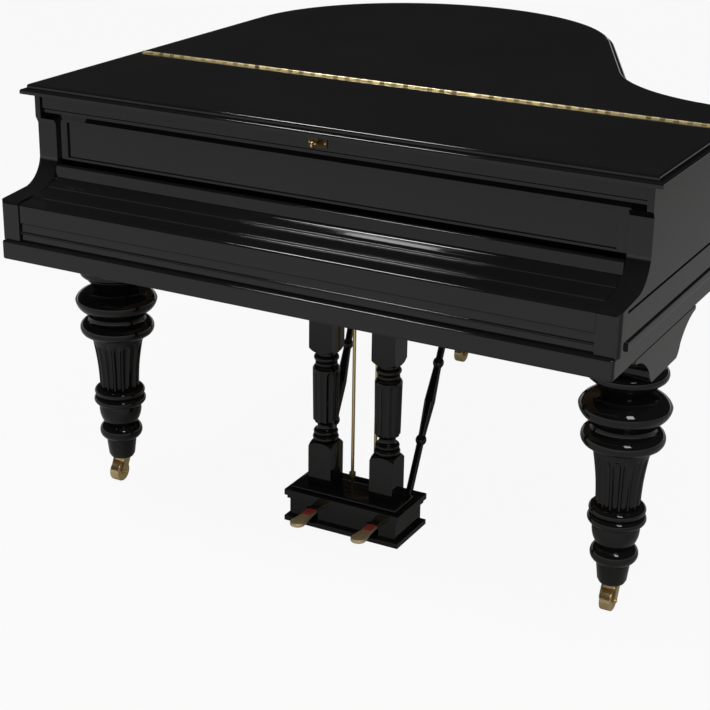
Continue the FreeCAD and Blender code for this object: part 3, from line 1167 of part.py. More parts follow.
def make_pedals():
    """Brass pedals with a rounded pad, pivot pin and lifting arm, and the rods above them."""
    for side, name in ((-1, "left"), (1, "right")):
        centre = side * PEDAL_X
        half = PEDAL_WIDTH / 2
        z = (PEDAL_BOTTOM, PEDAL_BOTTOM + PEDAL_THICKNESS)
        tongue_front = at(PEDAL_FRONT + PEDAL_PAD_LENGTH / 2)
        tongue = box((centre - half, centre + half), (tongue_front, at(PEDAL_BACK)), z)
        pad = Part.makeCylinder(PEDAL_PAD_WIDTH / 2, PEDAL_THICKNESS,
                                Vector(centre, at(PEDAL_FRONT) + PEDAL_PAD_WIDTH / 2, PEDAL_BOTTOM))
        arm_x = sorted((centre, side * (ROD_X - ROD_COLLAR_RADIUS)))
        arm = box(arm_x, (at(PEDAL_BACK - PEDAL_ARM_WIDTH), at(PEDAL_BACK)), z)
        export(f"{name}_pedal", fused([tongue, pad, arm, pedal_pin(side, 0, 0)]))
        bottom = PEDAL_BOTTOM + PEDAL_THICKNESS + ROD_GAP
        foot = Vector(side * ROD_X, at(ROD_DEPTH), bottom)
        shank = rod(foot, Vector(foot.x, foot.y, BASE_TOP - ROD_TOP_DROP), ROD_RADIUS)
        collar_z = LYRE_BOX_TOP + ROD_COLLAR_LIFT
        collar = Part.makeCylinder(ROD_COLLAR_RADIUS, ROD_COLLAR_HEIGHT, Vector(foot.x, foot.y, collar_z))
        export(f"{name}_pedal_rod", fused([shank, collar]))


def key_spot(key):
    """Left edge of a natural's head, or None for a sharp, and the middle of the key's tail."""
    note = key + LOWEST_STEP
    octave, step = divmod(note, len(OCTAVE))
    start = LOWEST_NOTE_HEAD - KEYBOARD_WIDTH / 2
    head = None
    if OCTAVE[step].islower():
        before = octave * OCTAVE_NATURALS + sum(other.islower() for other in OCTAVE[:step])
        head = start + before * NATURAL_PITCH
    return head, start + note * SEMITONE + SEMITONE / 2


def natural_key(head, tail):
    """White key: full-width head and a tail between the sharps."""
    half = KEY_TAIL_WIDTH / 2
    split = at(KEY_FRONT + KEY_HEAD_LENGTH)
    right = head + NATURAL_PITCH - KEY_SIDE_GAP
    corners = [(head, at(KEY_FRONT)), (right, at(KEY_FRONT)), (right, split), (tail + half, split),
               (tail + half, at(KEY_BACK)), (tail - half, at(KEY_BACK)), (tail - half, split), (head, split)]
    wire = wire_of([Vector(x, y, level(KEY_BOTTOM)) for x, y in corners])
    return Part.Face(wire).extrude(Vector(0, 0, KEY_TOP - KEY_BOTTOM))


def sharp_key(tail):
    """Black key: raised, sloped front block on a long stick."""
    half = SHARP_TOP_WIDTH / 2
    top = level(KEY_TOP) + SHARP_RISE
    section = [(SHARP_FRONT, level(KEY_BOTTOM)), (KEY_BACK, level(KEY_BOTTOM)), (KEY_BACK, level(KEY_TOP)),
               (SHARP_BACK, level(KEY_TOP)), (SHARP_BACK, top), (SHARP_FRONT + SHARP_SLOPE, top),
               (SHARP_FRONT, level(KEY_TOP))]
    return prism_x(section, tail - half, tail + half)


def hammer(tail):
    """Hammer: drawn with its head at the string, then swung down to rest about its pivot."""
    half = HAMMER_HEAD_WIDTH / 2
    pivot = level(HAMMER_PIVOT_HEIGHT)
    low = pivot - HAMMER_SHANK / 2
    high = pivot + HAMMER_SHANK / 2
    bottom = pivot - HAMMER_MOULDING_DROP
    tip = STRING_Z - STRING_RADIUS - HAMMER_STRIKE_GAP
    shoulder = tip - HAMMER_SHOULDER
    butt = HAMMER_PIVOT_DEPTH + HAMMER_BUTT_GAP
    front = HAMMER_STRIKE_DEPTH - HAMMER_HEAD_LENGTH / 2
    back = HAMMER_STRIKE_DEPTH + HAMMER_HEAD_LENGTH / 2
    section = [(butt, low), (front, low), (front, bottom), (back, bottom), (back, shoulder),
               (HAMMER_STRIKE_DEPTH, tip), (front, shoulder), (front, high), (butt, high)]
    shape = prism_x(section, tail - half, tail + half)
    shape.rotate(Vector(0, at(HAMMER_PIVOT_DEPTH), pivot), Vector(1, 0, 0), -HAMMER_SWING_DEGREES)
    return shape


def make_keyboard():
    """Key frame with its rails, keys, hammers, dampers and the key blocks."""
    groups = {"natural": [], "sharp": [], "middle": []}
    hammers = {"natural": [], "sharp": [], "middle": []}
    dampers = []
    for key in range(KEYS):
        head, tail = key_spot(key)
        kind = "sharp" if head is None else "natural"
        kind = "middle" if key == MIDDLE_KEY else kind
        groups[kind].append(sharp_key(tail) if head is None else natural_key(head, tail))
        hammers[kind].append(hammer(tail))
        if key < DAMPERS:
            string_top = STRING_Z + STRING_RADIUS
            if key < BASS_KEYS:
                string_top = STRING_Z + BASS_STRING_LIFT + BASS_STRING_RADIUS
            half = DAMPER_WIDTH / 2
            bottom = string_top + DAMPER_GAP
            damper_y = (at(DAMPER_FRONT), at(DAMPER_FRONT + DAMPER_LENGTH))
            dampers.append(box((tail - half, tail + half), damper_y, (bottom, bottom + DAMPER_HEIGHT)))
    export("natural_keys", groups["natural"])
    export("sharp_keys", groups["sharp"])
    export("middle_key", groups["middle"])
    export("natural_hammers", hammers["natural"])
    export("sharp_hammers", hammers["sharp"])
    export("middle_hammer", hammers["middle"])
    export("dampers", dampers)
    make_key_frame()
    inner = key_frame_half() + KEY_BLOCK_GAP
    block = box((inner, BOARD_HALF), (at(KEY_BLOCK_FRONT), at(KEY_BLOCK_BACK)),
                (BASE_TOP, level(KEY_BLOCK_TOP)))
    export("key_blocks", pair(block))


def key_frame_half():
    """Half width of the key frame."""
    return KEYBOARD_WIDTH / 2 + KEY_END_GAP + KEY_FRAME_SIDE


def make_key_frame():
    """Frame under the keys with its rails, and the hammer rail on two end brackets."""
    half = key_frame_half()
    rest = level(KEY_BOTTOM) - KEY_RAIL_GAP
    low = level(LOW_RAIL_HEIGHT)
    balance_start = KEY_BALANCE_DEPTH - BALANCE_RAIL_WIDTH / 2
    rails = ((FRONT_RAIL_START, FRONT_RAIL_WIDTH, low), (balance_start, BALANCE_RAIL_WIDTH, rest),
             (BACK_RAIL_START, BACK_RAIL_WIDTH, rest))
    pieces = []
    for start, width, top in rails:
        pieces.append(box((-half, half), (at(start), at(start + width)), (BASE_TOP, top)))
    rail_back = HAMMER_PIVOT_DEPTH - KEY_RAIL_GAP
    pivot = level(HAMMER_PIVOT_HEIGHT)
    rail_z = (pivot - HAMMER_RAIL_HEIGHT / 2, pivot + HAMMER_RAIL_HEIGHT / 2)
    pieces.append(box((-half, half), (at(rail_back - HAMMER_RAIL_DEPTH), at(rail_back)), rail_z))
    for side in (-1, 1):
        x = sorted((side * (half - KEY_FRAME_SIDE), side * half))
        pieces.append(box(x, (at(FRONT_RAIL_START), at(BACK_RAIL_START + BACK_RAIL_WIDTH)), (BASE_TOP, low)))
        pieces.append(box(x, (at(rail_back - 2 * HAMMER_RAIL_DEPTH), at(rail_back)), (BASE_TOP, rail_z[1])))
    export("key_frame", fused(pieces))


def string_length(key):
    """Speaking length of a plain string, growing evenly in ratio from the top note to the tenor."""
    share = (KEYS - 1 - key) / (KEYS - 1 - BASS_KEYS)
    return TREBLE_STRING * (TENOR_STRING / TREBLE_STRING) ** share


def bass_x(tail, depth):
    """X at a depth of the slanting bass string that crosses its key's line at the dampers' front."""
    return tail + BASS_DRIFT * (depth - DAMPER_FRONT) / (BASS_BRIDGE_DEPTH - DAMPER_FRONT)


def bridge_points():
    """Points of the long bridge and of the bass bridge, below the strings they carry."""
    long_row = []
    for key in list(range(BASS_KEYS, KEYS - 1, BRIDGE_STEP_KEYS)) + [KEYS - 1]:
        long_row.append(Vector(key_spot(key)[1], at(STRING_FRONT + string_length(key)), 0))
    bass_row = []
    for key in (0, BASS_KEYS - 1):
        bass_row.append(Vector(bass_x(key_spot(key)[1], BASS_BRIDGE_DEPTH), at(BASS_BRIDGE_DEPTH), 0))
    return long_row, bass_row


def bridge_bar(points, top, width):
    """Curved bridge of a given width through points on the soundboard."""
    bottom = level(SOUNDBOARD_BOTTOM + SOUNDBOARD_THICKNESS)
    sides = {-1: [], 1: []}
    for index, point in enumerate(points):
        before = points[max(index - 1, 0)]
        after = points[min(index + 1, len(points) - 1)]
        run = Vector(after - before).normalize()
        across = Vector(-run.y, run.x, 0) * (width / 2)
        for side, row in sides.items():
            row.append(Vector(point.x, point.y, bottom) + across * side)
    curves = []
    for row in (sides[-1], sides[1]):
        curve = Part.BSplineCurve()
        curve.interpolate(row)
        curves.append(curve.toShape())
    ends = [line(sides[-1][0], sides[1][0]), line(sides[-1][-1], sides[1][-1])]
    wire = Part.Wire(Part.__sortEdges__(curves + ends))
    return Part.Face(wire).extrude(Vector(0, 0, top - bottom))


def make_string_works():
    """Soundboard with ribs and bridges, pinblock, iron plate, tuning pins and strings."""
    belly_middle = BELLY_FRONT + BELLY_THICKNESS / 2
    edge = LID_OVERHANG + RIM_THICKNESS
    board_bottom = level(SOUNDBOARD_BOTTOM)
    board_top = board_bottom + SOUNDBOARD_THICKNESS
    export("soundboard", plan_slab(edge + SOUNDBOARD_EDGE_GAP, belly_middle, board_bottom, board_top))
    rib_inset = edge + INNER_RIM_THICKNESS + RIB_EDGE_GAP
    rib_front = BELLY_FRONT + BELLY_THICKNESS + RIB_EDGE_GAP
    inside = plan_slab(rib_inset, rib_front, board_bottom - RIB_HEIGHT, board_bottom)
    ribs = []
    for index in range(RIB_COUNT):
        y = at(RIB_FIRST + index * RIB_PITCH)
        bar = box((-LID_HALF, LID_HALF), (y, y + RIB_WIDTH), (board_bottom - RIB_HEIGHT, board_bottom))
        ribs += bar.common(inside).Solids
    export("soundboard_ribs", ribs)
    make_strings()
    make_plate()
    block_back = PLATE_STEP_BACK - PLATE_THICKNESS
    flange = level(PLATE_FLANGE_BOTTOM)
    block = box((-ARM_INNER, ARM_INNER), (at(block_back - PINBLOCK_DEPTH), at(block_back)),
                (flange - PINBLOCK_THICKNESS, flange))
    export("pinblock", block)


def make_strings():
    """One string for each note, its tuning pin, and the two bridges that carry them."""
    flange_top = level(PLATE_FLANGE_BOTTOM + PLATE_FLANGE_THICKNESS)
    strings = []
    pins = []
    for key in range(KEYS):
        tail = key_spot(key)[1]
        bass = key < BASS_KEYS
        radius = BASS_STRING_RADIUS if bass else STRING_RADIUS
        z = STRING_Z + (BASS_STRING_LIFT if bass else 0)
        start = bass_x(tail, STRING_FRONT) if bass else tail
        pin_y = at(PIN_FIRST_DEPTH + PIN_ROW_PITCH * (key % PIN_ROWS))
        pin_x = start + radius + PIN_RADIUS + PIN_STRING_GAP
        pins.append(Part.makeCylinder(PIN_RADIUS, PIN_HEIGHT, Vector(pin_x, pin_y, flange_top)))
        front = Vector(start, at(STRING_FRONT), z)
        if bass:
            end_depth = BASS_BRIDGE_DEPTH + STRING_AFTER_BRIDGE
            last = Vector(bass_x(tail, end_depth), at(end_depth), z)
        else:
            last = Vector(tail, at(STRING_FRONT + string_length(key) + STRING_AFTER_BRIDGE), z)
        strings.append(fused([rod(Vector(start, pin_y, z), front, radius), rod(front, last, radius)]))
    export("strings", strings)
    export("tuning_pins", pins)
    long_row, bass_row = bridge_points()
    bass_top = STRING_Z + BASS_STRING_LIFT - BASS_STRING_RADIUS - BRIDGE_GAP
    export("bridges", [bridge_bar(long_row, long_bridge_top(), BRIDGE_WIDTH),
                       bridge_bar(bass_row, bass_top, BRIDGE_WIDTH)])


def long_bridge_top():
    """Level of the long bridge's top, just under the plain strings."""
    return STRING_Z - STRING_RADIUS - BRIDGE_GAP


def make_plate():
    """Iron plate: web along the rim, flange over the pinblock and struts that bridge the hammers' path."""
    edge = LID_OVERHANG + RIM_THICKNESS + PLATE_EDGE_GAP
    bottom = level(PLATE_BOTTOM)
    top = bottom + PLATE_THICKNESS
    web = plan_slab(edge, PLATE_STEP_BACK, bottom, top)
    half = LID_HALF - edge
    tail = [key_spot(key)[1] for key in range(KEYS)]
    bridge_back = at(BASS_BRIDGE_DEPTH + BRIDGE_WIDTH)
    left = PLATE_SIDE_WEB - half
    long_row, bass_row = bridge_points()
    window_front = at(PLATE_STEP_BACK) - OVERRUN
    corners = [Vector(left, window_front, 0), Vector(left, at(LENGTH) - TAIL_RADIUS, 0),
               Vector(bass_row[0].x - BRIDGE_WIDTH, bridge_back, 0),
               Vector(bass_row[-1].x + BRIDGE_WIDTH, bridge_back, 0)]
    for key in range(BASS_KEYS + BRIDGE_STEP_KEYS, KEYS, BRIDGE_STEP_KEYS):
        reach = STRING_FRONT + string_length(key) + BRIDGE_WIDTH
        corners.append(Vector(tail[key] + BRIDGE_WIDTH, at(reach), 0))
    corners.append(Vector(half - PLATE_SIDE_WEB, at(STRING_FRONT + TREBLE_STRING + BRIDGE_WIDTH), 0))
    corners.append(Vector(half - PLATE_SIDE_WEB, window_front, 0))
    window = Part.Face(wire_of(corners)).extrude(Vector(0, 0, PLATE_THICKNESS + 2 * OVERRUN))
    web = web.cut(window.translated(Vector(0, 0, bottom - OVERRUN)))
    flange_bottom = level(PLATE_FLANGE_BOTTOM)
    flange_top = flange_bottom + PLATE_FLANGE_THICKNESS
    flange = box((-half, half), (at(PLATE_FRONT), at(PLATE_STEP_BACK)), (flange_bottom, flange_top))
    riser = box((-half, half), (at(PLATE_STEP_BACK - PLATE_THICKNESS), at(PLATE_STEP_BACK)),
                (bottom, flange_top))
    pieces = [web, flange, riser]
    strut_top = level(STRUT_TOP)
    strut_front = PLATE_STEP_BACK - PLATE_THICKNESS
    for key in STRUT_AFTER_KEYS:
        x = (tail[key - 1] + tail[key]) / 2
        reach = STRING_FRONT + string_length(key) + PLATE_TAIL_WEB
        section = [(strut_front, flange_top), (PLATE_STEP_BACK, flange_top), (PLATE_STEP_BACK, STRING_Z),
                   (STRUT_LOW_FRONT, STRING_Z), (STRUT_LOW_FRONT, bottom), (reach, bottom),
                   (reach, strut_top), (strut_front, strut_top)]
        pieces.append(prism_x(section, x - STRUT_WIDTH / 2, x + STRUT_WIDTH / 2))
    saddle = bridge_bar(long_row, long_bridge_top() + BRIDGE_GAP, BRIDGE_WIDTH + 2 * PLATE_EDGE_GAP)
    export("iron_plate", fused(pieces).cut(saddle))


def main():
    """Build every node of the piano."""
    os.makedirs("parts", exist_ok=True)
    make_rim()
    make_base()
    make_arms()
    make_front_boards()
    make_fallboard()
    make_lock()
    make_lid()
    make_flap_hinge()
    make_lid_fittings()
    make_prop()
    make_desk()
    make_legs()
    make_casters()
    make_lyre()
    make_pedals()
    make_keyboard()
    make_string_works()


main()
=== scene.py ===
# %% [markdown]
# # A small black grand piano
# The CAD model already has every part of the piano in its place. Blender gives it what CAD leaves out:
# the deep black polish, brass that has been handled, felt, ivory and wood, and the small fittings such as
# screws and pins. The frame is loaded first, because everything else is placed against it.

# %% Load the frame
import json
import math
import bpy
import bmesh
from mathutils import Matrix, Vector


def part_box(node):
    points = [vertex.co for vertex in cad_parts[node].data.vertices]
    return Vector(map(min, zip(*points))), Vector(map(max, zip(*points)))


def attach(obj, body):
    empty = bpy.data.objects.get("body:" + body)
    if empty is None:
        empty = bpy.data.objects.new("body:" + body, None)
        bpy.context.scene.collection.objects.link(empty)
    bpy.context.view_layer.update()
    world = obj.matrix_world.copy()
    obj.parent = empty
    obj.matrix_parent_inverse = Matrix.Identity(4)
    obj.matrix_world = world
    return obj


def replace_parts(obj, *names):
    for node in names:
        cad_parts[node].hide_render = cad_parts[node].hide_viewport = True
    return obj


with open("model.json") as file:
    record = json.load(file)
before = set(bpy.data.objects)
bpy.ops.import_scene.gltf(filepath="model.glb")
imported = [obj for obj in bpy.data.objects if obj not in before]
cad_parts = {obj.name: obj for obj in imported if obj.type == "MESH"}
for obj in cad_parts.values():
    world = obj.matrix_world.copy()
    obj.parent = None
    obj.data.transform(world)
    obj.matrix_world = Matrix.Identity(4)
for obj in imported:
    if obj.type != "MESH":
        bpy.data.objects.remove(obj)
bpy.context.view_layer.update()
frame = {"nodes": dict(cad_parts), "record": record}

nodes = frame["nodes"]
stage = bpy.context.scene.collection

# %% [markdown]
# ## Writing materials as sums
# A material is a graph of nodes, and a graph is slow to read in code. Here a socket is wrapped in a small
# class that knows plus, minus, times and comparison, so that a roughness can be written as a sum, such as
# `0.03 + haze * 0.05`. Every other node comes from one method, which takes the node's type, its settings
# and its sockets.

# %% A socket that can be reckoned with
class Flow:
    """One output socket, which adds Math nodes when it is used in a sum."""

    def __init__(self, graph, socket):
        self.graph = graph
        self.socket = socket

    def reckon(self, operation, first, second):
        return self.graph.node("ShaderNodeMath", {"operation": operation}, {0: first, 1: second})

    def __add__(self, other):
        return self.reckon("ADD", self, other)

    def __sub__(self, other):
        return self.reckon("SUBTRACT", self, other)

    def __rsub__(self, other):
        return self.reckon("SUBTRACT", other, self)

    def __mul__(self, other):
        return self.reckon("MULTIPLY", self, other)

    def __gt__(self, other):
        return self.reckon("GREATER_THAN", self, other)

    def __lt__(self, other):
        return self.reckon("LESS_THAN", self, other)

    __radd__ = __add__
    __rmul__ = __mul__


print("sockets can be added and compared")

# %% [markdown]
# A graph holds the nodes while they are added. One method adds any node, so that the rest of the lesson
# is free of links and default values. Two short helpers cover what finishes, floor and room share: a
# value stretched to run from 0 to 1, and the kind of ray that arrives.

# %% A graph of nodes
class Graph:
    """A node tree that is being filled."""

    def __init__(self, tree):
        self.tree = tree
        self.tree.nodes.clear()

    def node(self, kind, settings=None, sockets=None, output=0):
        """Add a node, set it up, fill or link its sockets and hand back one output."""
        node = self.tree.nodes.new(kind)
        for key, value in (settings or {}).items():
            setattr(node, key, value)
        for key, value in (sockets or {}).items():
            if isinstance(value, Flow):
                self.tree.links.new(value.socket, node.inputs[key])
            else:
                node.inputs[key].default_value = value
        return Flow(self, node.outputs[output]) if node.outputs else None

    def spread(self, value, low, high):
        """A value's range from low to high stretched to run from 0 to 1."""
        return self.node("ShaderNodeMapRange", None, {"Value": value, "From Min": low, "From Max": high})

    def ray(self, kind):
        """1 for rays of one kind, otherwise 0."""
        return self.node("ShaderNodeLightPath", output=f"Is {kind} Ray")


print("graphs can be filled")

# %% [markdown]
# A finish is such a graph inside a material. It knows where a point lies on the piece, and a few patterns
# that come up again and again: clouds, lines, a coordinate, a colour between two colours, and relief.

# %% A finish
class Finish(Graph):
    """A material and its patterns, all read from the piece's own coordinates in metres."""

    def __init__(self, name):
        self.material = bpy.data.materials.new(name)
        self.material.use_nodes = True
        super().__init__(self.material.node_tree)
        self.place = self.node("ShaderNodeTexCoord", output="Object")

    def stretched(self, scale, turn=(0, 0, 0)):
        """The place on the piece, stretched or turned, for grain that runs one way."""
        return self.node("ShaderNodeMapping", None, {"Vector": self.place, "Scale": scale, "Rotation": turn})

    def noise(self, scale, detail=2.0, place=None, distortion=0.0):
        """Soft cloudy values from 0 to 1."""
        return self.node("ShaderNodeTexNoise", None, {"Vector": place or self.place, "Scale": scale,
                                                      "Detail": detail, "Distortion": distortion})

    def lines(self, scale, place=None, distortion=0.0):
        """Bands that follow each other along X, from 0 to 1."""
        return self.node("ShaderNodeTexWave", None, {"Vector": place or self.place, "Scale": scale,
                                                     "Distortion": distortion, "Detail": 2.0}, 1)

    def along(self, axis):
        """One coordinate of the place on the piece."""
        return self.node("ShaderNodeSeparateXYZ", None, {"Vector": self.place}, "XYZ".index(axis))

    def tint(self, share, low, high):
        """A colour between two colours, from the Mix node's colour sockets."""
        ends = [colour if isinstance(colour, Flow) else (*colour, 1.0) for colour in (low, high)]
        return self.node("ShaderNodeMix", {"data_type": "RGBA"}, {0: share, 6: ends[0], 7: ends[1]}, 2)

    def bump(self, height, strength, depth):
        """A normal tilted by a height, whose relief is given in metres."""
        return self.node("ShaderNodeBump", None, {"Height": height, "Strength": strength, "Distance": depth})

    def done(self, **sockets):
        """Join the shader to the output, with socket names written in small letters."""
        named = {key.replace("_", " ").title().replace("Ior", "IOR"): value for key, value in sockets.items()}
        shader = self.node("ShaderNodeBsdfPrincipled", None, named)
        self.node("ShaderNodeOutputMaterial", None, {"Surface": shader})
        return self.material


print("finishes can be written")

# %% [markdown]
# ## Black polish
# The case is sprayed with many coats of black and rubbed until it mirrors the room. A mirror-smooth black
# would look like glass, so two things are added: a slow change of gloss where hands and cloths have been,
# and the very fine ripple that sprayed lacquer keeps, as low relief.

# %% Lacquer
def black_lacquer():
    finish = Finish("black_lacquer")
    haze = finish.noise(2.2, 3.0)
    ripple = finish.noise(95.0, 1.0)
    return finish.done(base_color=finish.tint(haze, (0.0035, 0.0037, 0.0044), (0.0090, 0.0088, 0.0082)),
                       roughness=0.03 + haze * 0.05, ior=1.43,
                       normal=finish.bump(ripple, 0.03, 0.0008))


lacquer = black_lacquer()
print(lacquer.name)

# %% [markdown]
# ## Brass and steel
# Hinges, lock, casters, pedals and rods are brass. Polished brass is pale gold, and it darkens in clouds
# where it is touched. One even colour would look new, so the colour and the gloss follow the same clouds,
# and fine scuffs run across them. The lock plate is never rubbed, so it has gone brown. Shoes have worn
# the pedals dull, and their brass is painted paler, as painted light on the toes.

# %% Brass
def brass_parts(finish, pale, dark):
    """Colour, gloss and relief of brass."""
    cloud = finish.noise(28.0, 5.0)
    scuff = finish.noise(420.0, 2.0, finish.stretched((1.0, 0.12, 1.0)))
    return finish.tint(cloud, pale, dark), 0.2 + cloud * 0.16 + scuff * 0.08, finish.bump(scuff, 0.08, 0.0003)


def handled_brass(name, pale, dark, dulled=0.0):
    finish = Finish(name)
    colour, gloss, relief = brass_parts(finish, pale, dark)
    return finish.done(base_color=colour, metallic=1.0, roughness=gloss + dulled, normal=relief)


brass = handled_brass("handled_brass", (0.92, 0.74, 0.42), (0.72, 0.51, 0.23))
brown_brass = handled_brass("brown_brass", (0.085, 0.062, 0.036), (0.042, 0.030, 0.018))
# pedal brass is painted paler than the rest, as painted light; the added roughness is wear
pedal_brass_painted_light = handled_brass("trodden_brass_painted_light", (0.95, 0.82, 0.55), (0.86, 0.70, 0.42), 0.22)
print(brass.name, brown_brass.name, pedal_brass_painted_light.name)

# %% [markdown]
# The flap hangs on one long hinge. Beside every other knuckle its brass is painted dark, as painted shade in
# the notch there, broken up by clouds. The notch is too thin to model, so the finish finds the notches by
# their
# place: by steps along the hinge, and by the distance ahead of its line.

# %% Brass of the long hinge
HINGE_LINE = (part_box("flap_hinge_front_leaf")[0].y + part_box("flap_hinge_rear_leaf")[1].y) / 2
NOTCH_REACH = 0.0075
NOTCH_START = 0.6
NOTCHES_A_METRE = 33.0


def hinge_brass():
    finish = Finish("hinge_brass")
    colour, gloss, relief = brass_parts(finish, (0.88, 0.80, 0.55), (0.70, 0.58, 0.33))
    steps = finish.along("X") * NOTCHES_A_METRE
    within_step = finish.node("ShaderNodeMath", {"operation": "FRACT"}, {0: steps})
    ahead = HINGE_LINE - finish.along("Y")
    notch = (within_step > NOTCH_START) * (ahead > 0.0) * (ahead < NOTCH_REACH)
    # painted shade in the notches: the colour turns dark brown there and the brass grows rougher
    painted_notch_shade = notch * finish.spread(finish.noise(26.0, 1.0), 0.15, 0.75)
    return finish.done(base_color=finish.tint(painted_notch_shade, colour, (0.16, 0.115, 0.05)), metallic=1.0,
                       roughness=gloss + painted_notch_shade * 0.25, normal=relief)


long_hinge = hinge_brass()
print(long_hinge.name, "hinge line", round(HINGE_LINE, 4))

# %% [markdown]
# Pins and bolts are steel. It is greyer than brass and keeps faint clouds, so it has a short recipe of
# its own.

# %% Steel
def blued_steel():
    finish = Finish("blued_steel")
    cloud = finish.noise(40.0, 4.0)
    return finish.done(base_color=finish.tint(cloud, (0.56, 0.57, 0.60), (0.36, 0.37, 0.41)), metallic=1.0,
                       roughness=0.2 + cloud * 0.18, normal=finish.bump(finish.noise(500.0), 0.05, 0.0002))


steel = blued_steel()
print(steel.name)

# %% [markdown]
# ## Strings and plate
# The plain strings are steel, and the bass strings are wound with copper wire. Both are one node, so the
# height tells them apart: the bass strings cross above the others. The plate is cast iron under bronze
# paint, and its skin keeps the grain of the sand it was cast in.

# %% String wire and cast plate
BASS_LEVEL = 0.906


def string_wire():
    finish = Finish("string_wire")
    wound = finish.along("Z") > BASS_LEVEL
    winding = finish.lines(260.0, finish.stretched((1.0, 1.0, 1.0), (0, 0, math.radians(90))))
    return finish.done(base_color=finish.tint(wound, (0.60, 0.61, 0.63), (0.72, 0.36, 0.20)), metallic=1.0,
                       roughness=0.22 + wound * 0.12, normal=finish.bump(winding * wound, 0.5, 0.0003))


def bronzed_iron():
    finish = Finish("bronzed_iron")
    sand = finish.noise(330.0, 3.0)
    cloud = finish.noise(6.0, 4.0)
    return finish.done(base_color=finish.tint(cloud, (0.55, 0.38, 0.15), (0.42, 0.28, 0.10)), metallic=0.75,
                       roughness=0.34 + cloud * 0.14, normal=finish.bump(sand, 0.25, 0.0006))


wire = string_wire()
plate = bronzed_iron()
print(wire.name, plate.name)

# %% [markdown]
# ## Keys
# A key is a stick of light wood. Only its top and front are covered, with ivory-coloured plates, so the
# finish changes with the place: plate above and in front, wood elsewhere. The sharps are ebony, which is
# black but never as glossy as the case, with a faint grain along the key.

# %% Ivory and ebony
PLATE_UNDERSIDE = 0.7452
PLATE_FRONT = -0.7844


def ivory_on_wood():
    finish = Finish("ivory_on_wood")
    grain = finish.noise(60.0, 4.0, finish.stretched((6.0, 0.3, 1.0)))
    stick = finish.lines(95.0, finish.stretched((1.0, 0.05, 1.0)), 3.0)
    above = finish.along("Z") > PLATE_UNDERSIDE
    in_front = finish.along("Y") < PLATE_FRONT
    covered = finish.spread(above + in_front, 0.0, 1.0)
    plates = finish.tint(grain, (0.86, 0.83, 0.74), (0.78, 0.74, 0.62))
    sticks = finish.tint(stick, (0.72, 0.55, 0.33), (0.60, 0.42, 0.22))
    return finish.done(base_color=finish.tint(covered, sticks, plates),
                       roughness=0.55 - covered * 0.37 + grain * 0.08,
                       normal=finish.bump(grain, 0.05, 0.0004))


def satin_ebony():
    finish = Finish("satin_ebony")
    grain = finish.noise(220.0, 4.0, finish.stretched((1.0, 0.04, 1.0)))
    return finish.done(base_color=finish.tint(grain, (0.008, 0.007, 0.007), (0.026, 0.021, 0.018)),
                       roughness=0.26 + grain * 0.16, normal=finish.bump(grain, 0.12, 0.0003))


ivory = ivory_on_wood()
ebony = satin_ebony()
print(ivory.name, ebony.name)

# %% [markdown]
# ## Bare wood
# Inside and underneath the wood is bare: spruce for the soundboard and its ribs, beech for the rim and
# beams, maple for the pinblock and bridges. They share one recipe. Year rings show as long lines, which
# wander a little, and pores as short dark strokes along the same way. Only the colours and the spacing
# change.

# %% Spruce, beech and maple
def bare_wood(name, pale, dark, spacing, stretch, turn, gloss):
    finish = Finish(name)
    place = finish.stretched(stretch, turn)
    rings = finish.lines(spacing, place, 2.5)
    pores = finish.noise(spacing * 4, 3.0, place)
    cloud = finish.noise(3.0, 3.0)
    shade = finish.spread(rings * 0.55 + pores * 0.35 + cloud * 0.35, 0.25, 0.95)
    return finish.done(base_color=finish.tint(shade, pale, dark), roughness=gloss + pores * 0.15,
                       normal=finish.bump(pores, 0.12, 0.0004))


spruce = bare_wood("spruce", (0.74, 0.54, 0.30), (0.58, 0.37, 0.17), spacing=70.0, stretch=(1.0, 0.03, 1.0),
                   turn=(0, 0, math.radians(42)), gloss=0.32)
rib_spruce = bare_wood("rib_spruce", (0.72, 0.54, 0.32), (0.56, 0.38, 0.20), spacing=60.0,
                       stretch=(0.03, 1.0, 1.0), turn=(0, 0, 0), gloss=0.5)
beech = bare_wood("beech", (0.60, 0.42, 0.26), (0.47, 0.30, 0.17), spacing=45.0, stretch=(0.05, 0.4, 1.0),
                  turn=(0, math.radians(90), 0), gloss=0.5)
maple = bare_wood("maple", (0.66, 0.50, 0.33), (0.52, 0.36, 0.21), spacing=50.0, stretch=(0.04, 1.0, 1.0),
                  turn=(0, 0, 0), gloss=0.42)
print(spruce.name, rib_spruce.name, beech.name, maple.name)

# %% [markdown]
# ## Felt and rubber
# Hammers are felt on a wooden shank, and dampers are black wood with felt under them. Each is one node in
# the CAD, so a place decides again: the hammers' heads lie behind their shanks, and the dampers' felt is
# the lowest few millimetres above each string.

# %% Felt on wood and felt under wood
HEAD_FRONT = -0.4335
FELT_DEEP = 0.0055
PLAIN_DAMPER_FOOT = 0.9012
BASS_DAMPER_FOOT = 0.9142


def wool(finish, pale, dark):
    """Colour and height of pressed wool."""
    fibre = finish.noise(900.0, 4.0, None, 0.6)
    lump = finish.noise(60.0, 2.0)
    return finish.tint(fibre * 0.7 + lump * 0.3, pale, dark), fibre


def hammer_felt():
    finish = Finish("hammer_felt")
    head = finish.along("Y") > HEAD_FRONT
    colour, fibre = wool(finish, (0.80, 0.78, 0.71), (0.66, 0.63, 0.55))
    grain = finish.lines(120.0, finish.stretched((1.0, 0.05, 1.0)), 2.0)
    shank = finish.tint(grain, (0.66, 0.50, 0.32), (0.54, 0.38, 0.22))
    return finish.done(base_color=finish.tint(head, shank, colour), roughness=0.5 + head * 0.42,
                       normal=finish.bump(fibre * head, 0.5, 0.0006))


